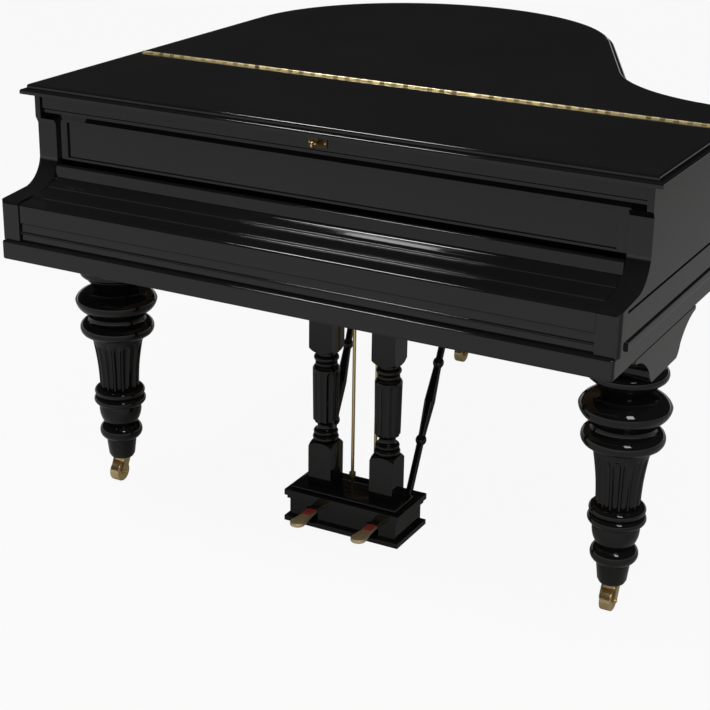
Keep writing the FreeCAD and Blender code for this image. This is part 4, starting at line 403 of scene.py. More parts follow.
def damper_felt():
    finish = Finish("damper_felt")
    height = finish.along("Z")
    plain_felt = height < PLAIN_DAMPER_FOOT + FELT_DEEP
    bass_felt = (height > BASS_DAMPER_FOOT) * (height < BASS_DAMPER_FOOT + FELT_DEEP)
    felt = finish.spread(plain_felt + bass_felt, 0.0, 1.0)
    colour, fibre = wool(finish, (0.82, 0.80, 0.74), (0.70, 0.67, 0.60))
    cloud = finish.noise(30.0, 2.0)
    black = finish.tint(cloud, (0.006, 0.006, 0.007), (0.014, 0.013, 0.013))
    return finish.done(base_color=finish.tint(felt, black, colour), roughness=0.18 + felt * 0.72,
                       normal=finish.bump(fibre * felt, 0.5, 0.0006))


hammer_wool = hammer_felt()
damper_wool = damper_felt()
print(hammer_wool.name, damper_wool.name)

# %% [markdown]
# Pads and strips of felt are dyed red all through, so the same wool does for them without a place. The
# bumpers under the lid are rubber, which is dull and holds dust.

# %% Dyed felt and rubber
def dyed_felt(name, pale, dark):
    finish = Finish(name)
    colour, fibre = wool(finish, pale, dark)
    return finish.done(base_color=colour, roughness=0.86 + fibre * 0.1,
                       normal=finish.bump(fibre, 0.6, 0.0007))


def dull_rubber():
    finish = Finish("dull_rubber")
    dust = finish.noise(160.0, 4.0)
    return finish.done(base_color=finish.tint(dust, (0.020, 0.020, 0.020), (0.045, 0.044, 0.042)),
                       roughness=0.62 + dust * 0.2, normal=finish.bump(dust, 0.2, 0.0003))


red_felt = dyed_felt("red_felt", (0.30, 0.022, 0.020), (0.17, 0.010, 0.011))
rubber = dull_rubber()
print(red_felt.name, rubber.name)

# %% [markdown]
# ## Dressing the CAD nodes
# Each node takes one finish. The record's slots already group the nodes, so the finishes are given by
# slot, and a few nodes that need their own finish are named after that.

# %% Give each node its finish
BY_SLOT = {"lacquer": lacquer, "brass": brass, "steel": steel, "plate": plate, "ivory": ivory, "ebony": ebony,
           "spruce": spruce, "beech": beech, "maple": maple, "felt": hammer_wool, "rubber": rubber}
BY_NODE = {"strings": wire, "dampers": damper_wool, "soundboard_ribs": rib_spruce, "lock_plate": brown_brass,
           "flap_hinge_front_leaf": long_hinge, "flap_hinge_rear_leaf": long_hinge}

for row in frame["record"]["subparts"]:
    mesh = nodes[row["node"]].data
    mesh.materials.clear()
    mesh.materials.append(BY_NODE.get(row["node"], BY_SLOT[row["material_slot"]]))

# %% [markdown]
# ## Turned work
# Legs and lyre posts come off a lathe, and then flutes are cut along them. The CAD has their form; here
# they are made again with far more facets, rounded flutes and round flute ends. A Screw modifier could
# spin a profile, but it can't flute it, so the rings are made one by one. A lathe needs a profile. Ours
# is a list of rows: how far out, how high, and, where the run to the next row is round, how far out it is
# half way.

# %% A profile from rows
ARC_STEPS = 10


def swing(first, second):
    """Angle from one plane vector to another, positive against the clock."""
    return math.atan2(first.x * second.y - first.y * second.x, first.dot(second))


def round_run(start, middle, end):
    """Points on the circle through three points, without the first."""
    across, lean = end - start, middle - start
    twice = 2 * (lean.x * across.y - lean.y * across.x)
    begin = Vector((lean.y * across.length_squared - across.y * lean.length_squared,
                    across.x * lean.length_squared - lean.x * across.length_squared)) / twice
    centre = start - begin
    sweep = swing(begin, middle - centre) + swing(middle - centre, end - centre)
    return [centre + Matrix.Rotation(sweep * step / ARC_STEPS, 2) @ begin for step in range(1, ARC_STEPS + 1)]


def profile(rows, radius, low, high):
    """Points (reach, height) of a turned profile from its rows."""
    spots = [Vector((reach * radius, low + rise * (high - low))) for reach, rise, _ in rows]
    points = [spots[0]]
    for (_, _, half_way), start, end in zip(rows, spots, spots[1:]):
        if half_way is None:
            points.append(end)
        else:
            points += round_run(start, Vector((half_way * radius, (start.y + end.y) / 2)), end)
    return points


half_round = profile(((1.0, 0.0, 2.0), (1.0, 1.0, None)), 0.1, 0.0, 0.2)
print("half round:", [tuple(round(part, 3) for part in point) for point in half_round[::5]])

# %% [markdown]
# A station is one ring of the lathe mesh: its height and its reach in each direction. A plain ring
# reaches the same everywhere. A fluted ring dips, and the dip narrows towards the upper end of the flute,
# so the flute starts round, as a gouge leaves it. A ring of a square block reaches as far as the square
# does, or as far as the lathe has turned its corners away.

# %% Rings of the lathe
def plain_ring(reach):
    return lambda angle: reach


def fluted_ring(reach, flutes, depth, land, end_gap, end_length):
    """Reach round a shaft at a place that lies end_gap below the upper end of its flutes."""
    opening = min(max(end_gap / end_length, 0.0), 1.0)
    widest = (1 - land) / 2
    width = widest * math.sqrt(1 - (1 - opening) ** 2)

    def reach_at(angle):
        aside = abs((angle * flutes / math.tau) % 1.0 - 0.5)
        if aside >= width:
            return reach
        return reach - depth * (width / widest) ** 2 * math.sqrt(1 - (aside / width) ** 2)
    return reach_at


def square_ring(half, turned_reach):
    return lambda angle: min(half / max(abs(math.cos(angle)), abs(math.sin(angle))), turned_reach)


sample = fluted_ring(reach=0.05, flutes=16, depth=0.005, land=0.2, end_gap=1.0, end_length=0.01)
print("reach on a land and in a flute", sample(0.0), round(sample(math.tau / 16 / 2), 4))

# %% [markdown]
# The mesh is then a stack of rings with a cap at each end. Sharp edges are marked by angle, so beads
# shine softly while the arrises of a moulding stay crisp.

# %% Stacks of rings
SHARP = math.radians(38)
MERGED = 1e-6


def stack(shape, rings):
    """Join rings of points with faces and close both ends."""
    rings = [[shape.verts.new(spot) for spot in ring] for ring in rings]
    for upper, lower in zip(rings, rings[1:]):
        for spot in range(len(upper)):
            shape.faces.new((upper[spot - 1], lower[spot - 1], lower[spot], upper[spot]))
    shape.faces.new(rings[0])
    shape.faces.new(rings[-1][::-1])


def lathe(shape, stations, columns, centre):
    """Add a stack of rings round an upright axis."""
    x, y = centre
    turns = [math.tau * column / columns for column in range(columns)]
    rings = []
    for height, reach_at in stations:
        reaches = [reach_at(turn) for turn in turns]
        rings.append([(x + reach * math.cos(turn), y + reach * math.sin(turn), height)
                      for reach, turn in zip(reaches, turns)])
    stack(shape, rings)


def finished(name, shape, material, body):
    """Turn a mesh under way into a piece that rides on a body."""
    bmesh.ops.remove_doubles(shape, verts=shape.verts, dist=MERGED)
    bmesh.ops.recalc_face_normals(shape, faces=shape.faces)
    mesh = bpy.data.meshes.new(name)
    shape.to_mesh(mesh)
    shape.free()
    mesh.shade_smooth()
    mesh.set_sharp_from_angle(angle=SHARP)
    mesh.materials.append(material)
    piece = bpy.data.objects.new(name, mesh)
    stage.objects.link(piece)
    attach(piece, body)
    print(name, len(mesh.polygons), "faces")
    return piece


print("edges are sharp past", round(math.degrees(SHARP)), "degrees")

# %% [markdown]
# ## Legs
# A leg has a square head with ogee sides, a round collar with a great bulged ring, a fluted shaft that
# tapers downwards, and a foot of beads and a vase. The head is flat on the side that faces out, flush
# with the case.

# %% Turn a leg's column
LEG_RADIUS = 0.101
HEAD_HEIGHT = 0.087
COLLAR_ROWS = ((0.70, 1.0, 0.86), (0.69, 0.94, None), (0.66, 0.92, 0.56), (0.53, 0.87, None),
               (0.66, 0.87, 0.91), (0.98, 0.825, 0.93), (0.75, 0.765, None), (0.71, 0.755, 0.68),
               (0.70, 0.72, 0.89), (0.66, 0.645, None), (0.62, 0.62, None))
SHAFT_ROWS = ((0.61, 0.62, 0.545), (0.50, 0.47, 0.485), (0.475, 0.37, None))
FOOT_ROWS = ((0.52, 0.37, 0.61), (0.54, 0.33, 0.63), (0.50, 0.285, 0.50), (0.38, 0.18, 0.52),
             (0.37, 0.10, None), (0.32, 0.015, None), (0.28, 0.0, None))
LEG_FLUTES = 16
LEG_FLUTE_DEPTH = 0.006
LEG_FLUTE_MARGIN = 0.004
LEG_FLUTE_END = 0.018
FLUTE_LAND = 0.2
RING_STEP = 0.003


def plain_stations(rows, *span):
    return [(point.y, plain_ring(point.x)) for point in profile(rows, *span)]


def fluted_stations(rows, radius, low, high, flutes, depth, margin, end_length):
    """Closely spaced rings of a shaft whose flutes start a margin below its top and run out at its foot."""
    shaft = profile(rows, radius, low, high)
    points = [shaft[-1]]
    for start, end in zip(shaft, shaft[1:]):
        steps = max(1, round((start.y - end.y) / RING_STEP))
        points[-1:-1] = [start.lerp(end, step / steps) for step in range(steps)]
    gaps = [shaft[0].y - point.y - margin for point in points]
    return [(point.y, fluted_ring(point.x, flutes, depth, FLUTE_LAND, gap, end_length))
            for point, gap in zip(points, gaps)]


leg_low, leg_high = (corner.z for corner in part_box("leg_left"))
span = (LEG_RADIUS, leg_low, leg_high - HEAD_HEIGHT)
leg_stations = plain_stations(COLLAR_ROWS, *span)
leg_stations += fluted_stations(SHAFT_ROWS, *span, LEG_FLUTES, LEG_FLUTE_DEPTH,
                                LEG_FLUTE_MARGIN, LEG_FLUTE_END)
leg_stations += plain_stations(FOOT_ROWS, *span)
print("rings on a leg", len(leg_stations))

# %% [markdown]
# The head isn't turned but sawn, so its rings have four points each. It reaches equally far on three
# sides and is cut short on the fourth, the one that faces out. So the leg's axis isn't in the middle of
# the CAD leg's box: it lies half a head from the side that faces in.

# %% Shape the heads and set up the legs
HEAD_HALF = 0.186
HEAD_OUT = 0.0765
HEAD_ROWS = ((1.0, 1.0, None), (1.0, 0.90, 0.66), (0.52, 0.35, 0.48), (0.37, 0.0, None))
LEG_FACETS = 10
FACING_OUT = {"left": math.pi, "right": 0.0, "rear": math.pi / 2}


def leg_axis(side, facing):
    """Where a leg's axis stands, in plan."""
    low, high = (corner.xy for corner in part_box(f"leg_{side}"))
    middle = (low + high) / 2
    out = Vector((math.cos(facing), math.sin(facing)))
    inner_side = min(low.dot(out), high.dot(out))
    return middle + out * (inner_side + HEAD_HALF - middle.dot(out))


def leg_head(shape, centre, facing):
    """A stack of rectangles, flat on the facing side."""
    place = Matrix.Translation((*centre, 0)) @ Matrix.Rotation(facing, 4, "Z")
    rings = []
    for reach, height in profile(HEAD_ROWS, HEAD_HALF, leg_high - HEAD_HEIGHT, leg_high):
        out = min(reach, HEAD_OUT)
        rings.append([place @ Vector((x, y, height))
                      for x, y in ((-reach, -reach), (out, -reach), (out, reach), (-reach, reach))])
    stack(shape, rings)


for side, facing in FACING_OUT.items():
    shape = bmesh.new()
    centre = leg_axis(side, facing)
    lathe(shape, leg_stations, LEG_FLUTES * LEG_FACETS, centre)
    leg_head(shape, centre, facing)
    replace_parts(finished(f"turned_leg_{side}", shape, lacquer, "case"), f"leg_{side}")

# %% [markdown]
# ## Lyre posts
# Each post is one length of wood: a square block above and below, turned between them. Where the lathe
# meets a block it rounds the corners away, which leaves an arch on every face. The same rings do this,
# because the reach of a block's ring is the smaller of the square's and the lathe's.

# %% Turn the lyre posts
POST_RADIUS = 0.032
POST_BLOCK = 0.030
POST_FLUTES = 12
POST_FLUTE_DEPTH = 0.0036
POST_FLUTE_MARGIN = 0.010
POST_FLUTE_END = 0.010
POST_FACETS = 8
POST_X = 0.081
TURNED = (0.225, 0.446)
SHOULDER = 0.022
SHOULDER_ROWS = ((1.45, 0.0, 1.30), (0.75, 1.0, None))
RING_ROWS = ((0.69, 1.0, None), (0.69, 0.97, 0.92), (0.69, 0.905, None), (0.81, 0.885, None),
             (0.81, 0.865, None), (0.75, 0.85, None))
REED_ROWS = ((0.84, 0.85, 0.95), (1.0, 0.81, None), (0.95, 0.30, None), (0.94, 0.23, 0.86),
             (0.72, 0.20, None))
NECK_ROWS = ((0.69, 0.20, 0.61), (0.69, 0.13, 0.90), (0.75, 0.07, 0.96), (0.75, 0.0, None))


def shoulder_stations(block_side, turned_side):
    points = profile(SHOULDER_ROWS, POST_RADIUS, block_side, turned_side)
    return [(point.y, square_ring(POST_BLOCK, point.x)) for point in points]


post_low, post_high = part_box("lyre_posts")
turned_low, turned_high = TURNED
post_stations = [(post_high.z, square_ring(POST_BLOCK, math.inf))]
post_stations += shoulder_stations(turned_high + SHOULDER, turned_high)
post_stations += plain_stations(RING_ROWS, POST_RADIUS, *TURNED)
post_stations += fluted_stations(REED_ROWS, POST_RADIUS, *TURNED, POST_FLUTES, POST_FLUTE_DEPTH,
                                 POST_FLUTE_MARGIN, POST_FLUTE_END)
post_stations += plain_stations(NECK_ROWS, POST_RADIUS, *TURNED)
post_stations += shoulder_stations(turned_low - SHOULDER, turned_low)[::-1]
post_stations += [(post_low.z, square_ring(POST_BLOCK, math.inf))]

shape = bmesh.new()
for x in (-POST_X, POST_X):
    lathe(shape, post_stations, POST_FLUTES * POST_FACETS, (x, (post_low.y + post_high.y) / 2))
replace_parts(finished("turned_lyre_posts", shape, lacquer, "case"), "lyre_posts")

# %% [markdown]
# ## Slabs with soft edges
# Pedals, felts and the step of the lyre box are all slabs whose upper and lower edges are rounded. A
# bevel leaves notches on short edges, such as those of a round toe. So the plan outline is stacked in
# rings instead, and the rings are drawn in towards the top and the bottom.

# %% A slab from its outline
EDGE_ANGLES = (90, 60, 30, 0)


def drawn_in(outline, inset, height):
    """An outline that runs against the clock, moved inwards and set at a height."""
    spots = [Vector(spot) for spot in outline]
    ring = []
    for before, spot, after in zip(spots[-1:] + spots[:-1], spots, spots[1:] + spots[:1]):
        first, second = (way.normalized().orthogonal() for way in (spot - before, after - spot))
        inner = spot + (first + second) * inset / (1 + first.dot(second))
        ring.append((*inner, height))
    return ring


def soft_slab(shape, outline, low, high, soft):
    """Add a slab of a plan outline whose upper and lower edges are rounded."""
    turns = [math.radians(angle) for angle in EDGE_ANGLES]
    upper = [(soft * (1 - math.cos(turn)), high - soft * (1 - math.sin(turn))) for turn in turns]
    lower = [(inset, low + high - height) for inset, height in upper[::-1]]
    stack(shape, [drawn_in(outline, inset, height) for inset, height in upper + lower])


def oblong(x_span, y_span):
    (left, right), (front, back) = sorted(x_span), sorted(y_span)
    return [(left, front), (right, front), (right, back), (left, back)]


print("an edge is rounded in", len(EDGE_ANGLES), "rings")

# %% [markdown]
# ## Pedals
# A pedal is a brass casting: a narrow tongue that swells into a round toe. The toe is an arc, and half a
# wave leads from it to the tongue, so that the outline has no corner there. The arm that lifts the rod
# and the pivot pin are inside the box, so they stay plain.

# %% Cast the pedals
PEDAL_SIDES = ((-1, "left"), (1, "right"))
PEDAL_X = 0.080
PEDAL_LEVEL = [corner.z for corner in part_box("left_pedal")]
TOE_CENTRE = -0.611
TOE_RADIUS = 0.018
TOE_ANGLES = range(0, 120, 10)
TOE_SWELL = 0.045
SWELL_STEPS = 8
TOE_SOFT = 0.0022
TONGUE_HALF = 0.011
TONGUE_BACK = -0.431
ARM_FRONT = -0.447
ARM_REACH = 0.058
ARM_SOFT = 0.001
PIVOT = (0, -0.509, 0.0625)
PIVOT_LENGTH = 0.0428
PIVOT_RADIUS = 0.004
PIVOT_FACETS = 20


def toe_outline():
    """Points round the toe and along the tongue, in plan."""
    turns = [math.radians(angle) for angle in TOE_ANGLES]
    right = [(TOE_RADIUS * math.sin(turn), TOE_CENTRE - TOE_RADIUS * math.cos(turn)) for turn in turns]
    wide, start = right[-1]
    for step in range(1, SWELL_STEPS + 1):
        narrowing = (1 - math.cos(math.pi * step / SWELL_STEPS)) / 2
        right.append((wide + (TONGUE_HALF - wide) * narrowing, start + TOE_SWELL * step / SWELL_STEPS))
    right.append((TONGUE_HALF, TONGUE_BACK))
    return right + [(-x, y) for x, y in right[:0:-1]]


for side, name in PEDAL_SIDES:
    shape = bmesh.new()
    soft_slab(shape, toe_outline(), *PEDAL_LEVEL, TOE_SOFT)
    soft_slab(shape, oblong((-side * ARM_REACH, 0.0), (ARM_FRONT, TONGUE_BACK)), *PEDAL_LEVEL, ARM_SOFT)
    lying = Matrix.Translation(PIVOT) @ Matrix.Rotation(math.pi / 2, 4, "Y")
    bmesh.ops.create_cone(shape, cap_ends=True, segments=PIVOT_FACETS, radius1=PIVOT_RADIUS,
                          radius2=PIVOT_RADIUS, depth=PIVOT_LENGTH, matrix=lying)
    bmesh.ops.translate(shape, verts=shape.verts, vec=(side * PEDAL_X, 0, 0))
    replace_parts(finished(f"cast_pedal_{name}", shape, pedal_brass_painted_light, f"{name}_pedal"), f"{name}_pedal")

# %% [markdown]
# A pad of red felt is glued on where the pedal goes into the box, to keep it from knocking. It is a slab of
# its own and not a patch of colour, because its thickness shows.

# %% Felt on the pedals
FELT_INSET = 0.0008
FELT_SPAN = (-0.573, -0.545)
FELT_LIFT = 0.0001
FELT_THICK = 0.0035
FELT_SOFT = 0.0014

felt_half = TONGUE_HALF - FELT_INSET
felt_low = PEDAL_LEVEL[1] + FELT_LIFT
for side, name in PEDAL_SIDES:
    shape = bmesh.new()
    across = (side * PEDAL_X - felt_half, side * PEDAL_X + felt_half)
    soft_slab(shape, oblong(across, FELT_SPAN), felt_low, felt_low + FELT_THICK, FELT_SOFT)
    finished(f"pedal_felt_{name}", shape, red_felt, f"{name}_pedal")

# %% [markdown]
# ## Step on the lyre box
# The posts don't stand on the box itself but on a low step with rounded edges, which catches the light as
# one more line above the moulding. It ends in front of the pedal rods, so that they move free of it.

# %% Lay the step under the posts
STEP_HALF = 0.138
STEP_SPAN = (-0.541, -0.450)
STEP_HEIGHT = 0.010
STEP_SOFT = 0.004

shape = bmesh.new()
box_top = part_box("lyre_box")[1].z
soft_slab(shape, oblong((-STEP_HALF, STEP_HALF), STEP_SPAN), box_top, box_top + STEP_HEIGHT, STEP_SOFT)
finished("lyre_box_step", shape, lacquer, "case")

# %% [markdown]
# ## Felt inside
# Red felt shows in two more places: a strip under the nameboard, just behind the keys, and a strip under
# the strings where they cross the plate. Both are long thin slabs with soft edges.

# %% Nameboard felt and string felt
STRIPS = {"nameboard_felt": ((-0.612, 0.612), (-0.6382, -0.6352), (0.7642, 0.7705)),
          "string_felt": ((-0.604, 0.602), (-0.476, -0.448), (0.8981, 0.8991))}
STRIP_SOFT_SHARE = 0.3

for name, (x_span, y_span, (low, high)) in STRIPS.items():
    shape = bmesh.new()
    soft_slab(shape, oblong(x_span, y_span), low, high, (high - low) * STRIP_SOFT_SHARE)
    finished(name, shape, red_felt, "case")

# %% [markdown]
# ## Small fittings
# Screws, pins and coils repeat by the dozen. Each has one pattern, and Geometry Nodes set it at points.
# The tree takes a pattern, the way it faces, and how far each copy may be turned at random, since no
# fitter lines up the slots of the screws. The points are the vertices of the object that carries the
# tree.

# %% A tree that sets fittings at points
FITTING_SEED = 7


def fittings_tree():
    tree = bpy.data.node_groups.new("fittings_at_points", "GeometryNodeTree")
    inputs = (("Points", "Geometry"), ("Pattern", "Object"), ("Facing", "Vector"), ("Turn", "Float"),
              ("Finish", "Material"))
    for name, kind in inputs:
        tree.interface.new_socket(name, in_out="INPUT", socket_type=f"NodeSocket{kind}")
    tree.interface.new_socket("Fittings", in_out="OUTPUT", socket_type="NodeSocketGeometry")
    graph = Graph(tree)
    given = {name: graph.node("NodeGroupInput", output=name) for name, _ in inputs}
    pattern = graph.node("GeometryNodeObjectInfo", None, {"Object": given["Pattern"]}, "Geometry")
    points = graph.node("GeometryNodeMeshToPoints", None, {"Mesh": given["Points"]})
    copies = graph.node("GeometryNodeInstanceOnPoints", None,
                        {"Points": points, "Instance": pattern, "Rotation": given["Facing"]})
    chance = graph.node("FunctionNodeRandomValue", {"data_type": "FLOAT"},
                        {2: -1.0, 3: 1.0, "Seed": FITTING_SEED}, 1)
    twist = graph.node("ShaderNodeCombineXYZ", None, {"Z": chance * given["Turn"]})
    turned = graph.node("GeometryNodeRotateInstances", None, {"Instances": copies, "Rotation": twist})
    real = graph.node("GeometryNodeRealizeInstances", None, {"Geometry": turned})
    done = graph.node("GeometryNodeSetMaterial", None, {"Geometry": real, "Material": given["Finish"]})
    graph.node("NodeGroupOutput", None, {"Fittings": done})
    return tree


fittings = fittings_tree()
print(fittings.name, len(fittings.nodes), "nodes")

# %% [markdown]
# A modifier runs the tree. It knows its inputs by the identifiers of the sockets, not by their names, so
# they are set that way. The result is then made a plain mesh, since a piece has to keep its copies when
# it leaves Blender, and it rides on its body like any other piece.

# %% Set fittings on a body
def pattern_object(name, shape):
    """One pattern as an object that is in no scene."""
    bmesh.ops.recalc_face_normals(shape, faces=shape.faces)
    mesh = bpy.data.meshes.new(name)
    shape.to_mesh(mesh)
    shape.free()
    return bpy.data.objects.new(name, mesh)


def set_fittings(name, points, pattern, facing, turn, material, body):
    """Put a pattern at every point, make it a plain mesh and let it ride on a body."""
    carrier = bpy.data.meshes.new(name)
    carrier.from_pydata(points, [], [])
    piece = bpy.data.objects.new(name, carrier)
    stage.objects.link(piece)
    given = {"Pattern": pattern, "Facing": facing, "Turn": turn, "Finish": material}
    modifier = piece.modifiers.new("fittings", "NODES")
    modifier.node_group = fittings
    for socket in fittings.interface.items_tree:
        if socket.name in given:
            modifier[socket.identifier] = given[socket.name]
    seen = bpy.context.evaluated_depsgraph_get()
    piece.data = bpy.data.meshes.new_from_object(piece.evaluated_get(seen), depsgraph=seen)
    piece.modifiers.clear()
    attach(piece, body)
    print(name, len(points), "copies", len(piece.data.polygons), "faces")


print("fittings can be set")

# %% [markdown]
# A countersunk screw shows only its slotted head, a hair proud of the plate. Each half of the head is a
# segment of a disc, and the slot is the space between the halves.

# %% Screws
RIM_STEPS = 7
CROWN_SHARE = 0.9


def screw_head(radius, proud, slot_width):
    shape = bmesh.new()
    lean = math.asin(slot_width / 2 / radius)
    for half in (0, math.pi):
        turns = [half + lean + (math.pi - 2 * lean) * step / RIM_STEPS for step in range(RIM_STEPS + 1)]
        rim = [(radius * math.cos(turn), radius * math.sin(turn)) for turn in turns]
        slot_side = slot_width / 2 * math.cos(half)
        crown = [(x * CROWN_SHARE, slot_side + (y - slot_side) * CROWN_SHARE, proud) for x, y in rim]
        stack(shape, [crown, [(x, y, -proud) for x, y in rim]])
    return pattern_object("screw_head", shape)


leaf_screw = screw_head(radius=0.0021, proud=0.00035, slot_width=0.0006)
wood_screw = screw_head(radius=0.0034, proud=0.0006, slot_width=0.0009)
plate_bolt = screw_head(radius=0.0080, proud=0.0030, slot_width=0.0020)
print("faces of a screw head", len(leaf_screw.data.polygons))

# %% [markdown]
# The flap's hinge has a row of small screws in each leaf. The front row swings with the flap and the rear
# row with the main leaf of the lid, so they are two pieces on two bodies.

# %% Screws in the flap's long hinge
LEAF_MIDDLE = 0.0066
SCREW_STEP = 0.0385
SCREWS_A_SIDE = 18
FACING_UP = (0, 0, 0)

lid_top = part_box("lid_main")[1].z
row = [SCREW_STEP * step for step in range(-SCREWS_A_SIDE, SCREWS_A_SIDE + 1)]
for name, side, body in (("front_leaf_screws", -1, "lid_flap"), ("rear_leaf_screws", 1, "lid_main")):
    spots = [(x, HINGE_LINE + side * LEAF_MIDDLE, lid_top) for x in row]
    set_fittings(name, spots, leaf_screw, FACING_UP, math.pi, brass, body)

# %% [markdown]
# Three hinges along the straight side, the spine, carry the lid, and each has three screws in its leaf on
# the case. Two screws hold the lock plate, and a row of heavy bolts holds down the front of the iron
# plate. All of them stay with the case.

# %% Screws in the spine hinges, the lock plate and the iron plate
SPINE_HINGES = (-0.163, 0.052, 0.267)
LEAF_PATTERN = ((-0.032, 0.990), (0.0, 0.979), (0.032, 0.990))
FACING_LEFT = (0, -math.pi / 2, 0)
FACING_FRONT = (math.pi / 2, 0, 0)
LOCK_INSET = 0.0045
BOLT_STEP = 0.1
BOLTS_A_SIDE = 6
BOLT_ROW = (-0.597, 0.898)

spine_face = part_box("outer_rim")[0].x
spots = [(spine_face, middle + aside, height) for middle in SPINE_HINGES for aside, height in LEAF_PATTERN]
set_fittings("spine_hinge_screws", spots, wood_screw, FACING_LEFT, math.pi, brass, "case")
lock_low, lock_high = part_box("lock_plate")
spots = [(x, lock_low.y, (lock_low.z + lock_high.z) / 2)
         for x in (lock_low.x + LOCK_INSET, lock_high.x - LOCK_INSET)]
set_fittings("lock_plate_screws", spots, leaf_screw, FACING_FRONT, math.pi, brass, "case")
spots = [(BOLT_STEP * step, *BOLT_ROW) for step in range(-BOLTS_A_SIDE, BOLTS_A_SIDE + 1)]
set_fittings("plate_bolts", spots, plate_bolt, FACING_UP, math.pi, steel, "case")

# %% [markdown]
# ## Pins of the strings
# A string winds round its tuning pin in three tight coils, and its far end hooks over a hitch pin in the
# plate. The frame tells where: the tuning pins lie side by side, so a gap along X parts one from the
# next, and a string's far end is its rearmost point. The bass strings slant, so their points are first
# moved back along the slant, and the short ends that lead to the pins are left aside.

# %% Find the pins and the string ends
LANE_GAP = 0.003
BASS_SLANT = 0.160 / 0.948
SLANT_START = -0.393


def lanes(spots):
    """Groups of points that lie side by side along their first number."""
    groups = []
    for spot in sorted(spots):
        if not groups or spot[0] - groups[-1][-1][0] > LANE_GAP:
            groups.append([])
        groups[-1].append(spot)
    return groups


def far_ends(strings):
    """The rearmost point of each string, in plan."""
    return [max(string, key=lambda spot: spot[2])[1:3] for string in strings]


pin_spots = []
for group in lanes([tuple(vertex.co) for vertex in nodes["tuning_pins"].data.vertices]):
    xs, ys, _ = zip(*group)
    pin_spots.append(((min(xs) + max(xs)) / 2, (min(ys) + max(ys)) / 2))
wires = [vertex.co for vertex in nodes["strings"].data.vertices if vertex.co.y > SLANT_START]
bass = lanes([(co.x - BASS_SLANT * (co.y - SLANT_START), *co) for co in wires if co.z > BASS_LEVEL])
plain = lanes([(co.x, *co) for co in wires if co.z <= BASS_LEVEL])
bass_ends, plain_ends = far_ends(bass), far_ends(plain)
print("tuning pins", len(pin_spots), "strings", len(bass_ends), "and", len(plain_ends))

# %% [markdown]
# A coil is a three-sided wire wound round its pin, since eighty-eight of them have to stay light. The
# hitch pins stand on the plate and end just above their strings, so the bass has longer ones. The coils
# are turned at random, because every wire leaves its pin where the tuner's last pull has left it.

# %% Coils and hitch pins
COIL_RADIUS = 0.0041
COIL_WIRE = 0.0006
COIL_PITCH = 2.1 * COIL_WIRE
COIL_TURNS = 3
COIL_STEPS = 8
WIRE_SIDES = 3
BASS_STRING = 0.912
PLAIN_STRING = 0.900
PLATE_TOP = 0.884
HITCH_PROUD = 0.003
HITCH_RADIUS = 0.0018
HITCH_SOFT = 0.0006
HITCH_SIDES = 8


def coil():
    shape = bmesh.new()
    sides = [math.tau * side / WIRE_SIDES for side in range(WIRE_SIDES)]
    section = [Vector((COIL_RADIUS + COIL_WIRE * math.cos(side), 0, COIL_WIRE * math.sin(side)))
               for side in sides]
    rings = []
    for step in range(COIL_TURNS * COIL_STEPS + 1):
        around = Matrix.Rotation(math.tau * step / COIL_STEPS, 3, "Z")
        rise = Vector((0, 0, COIL_PITCH * step / COIL_STEPS))
        rings.append([around @ corner + rise for corner in section])
    stack(shape, rings)
    return pattern_object("coil", shape)


def hitch_pin(height):
    shape = bmesh.new()
    outline = ((HITCH_RADIUS - HITCH_SOFT, height), (HITCH_RADIUS, height - HITCH_SOFT), (HITCH_RADIUS, 0.0))
    lathe(shape, [(rise, plain_ring(reach)) for reach, rise in outline], HITCH_SIDES, (0, 0))
    return pattern_object("hitch_pin", shape)


spots = [(*spot, BASS_STRING if index < len(bass) else PLAIN_STRING) for index, spot in enumerate(pin_spots)]
set_fittings("string_coils", spots, coil(), FACING_UP, math.pi, steel, "case")
for kind, ends, level in (("bass", bass_ends, BASS_STRING), ("plain", plain_ends, PLAIN_STRING)):
    spots = [(x, y, PLATE_TOP) for x, y in ends]
    pin = hitch_pin(level + HITCH_PROUD - PLATE_TOP)
    set_fittings(f"{kind}_hitch_pins", spots, pin, FACING_UP, 0.0, steel, "case")

# %% [markdown]
# ## Floor, room and lamps
# Black polish shows the room more than itself, and its upright faces mirror the floor. The floor is pale
# and matt, so it keeps the piano's shadow, and it is whitened most for the camera. In reflections it is
# white only some way ahead of the piano, because a floor that is white all round turns the black case
# grey.

# %% Floor
FLOOR_REACH = 30.0
FLOOR_GREY = (0.40, 0.40, 0.395, 1.0)
WHITE = (1.0, 1.0, 1.0, 1.0)
SEEN_WHITE = 0.93
MIRRORED_NEAR = 0.06
MIRRORED_AHEAD = 0.55
AHEAD = (1.5, 2.3)

floor_mesh = bpy.data.meshes.new("floor")
square = ((-1, -1), (1, -1), (1, 1), (-1, 1))
floor_mesh.from_pydata([(x * FLOOR_REACH, y * FLOOR_REACH, 0) for x, y in square], [], [(0, 1, 2, 3)])
floor = bpy.data.objects.new("floor", floor_mesh)
stage.objects.link(floor)
paint = bpy.data.materials.new("floor_paint")
paint.use_nodes = True
graph = Graph(paint.node_tree)
spot = graph.node("ShaderNodeTexCoord", output="Object")
ahead = graph.spread(0.0 - graph.node("ShaderNodeSeparateXYZ", None, {"Vector": spot}, 1), *AHEAD)
# the white is an emission: in reflections it is a painted glow, faint near the piano and strong some way
# ahead of it
mirrored = MIRRORED_NEAR + ahead * (MIRRORED_AHEAD - MIRRORED_NEAR)
whitened = graph.ray("Camera") * SEEN_WHITE + (graph.ray("Glossy") + graph.ray("Transmission")) * mirrored
matt = graph.node("ShaderNodeBsdfDiffuse", None, {"Color": FLOOR_GREY})
white = graph.node("ShaderNodeEmission", None, {"Color": WHITE, "Strength": 1.0})
both = graph.node("ShaderNodeMixShader", None, {0: graph.spread(whitened, 0.0, 1.0), 1: matt, 2: white})
graph.node("ShaderNodeOutputMaterial", None, {"Surface": both})
floor_mesh.materials.append(paint)
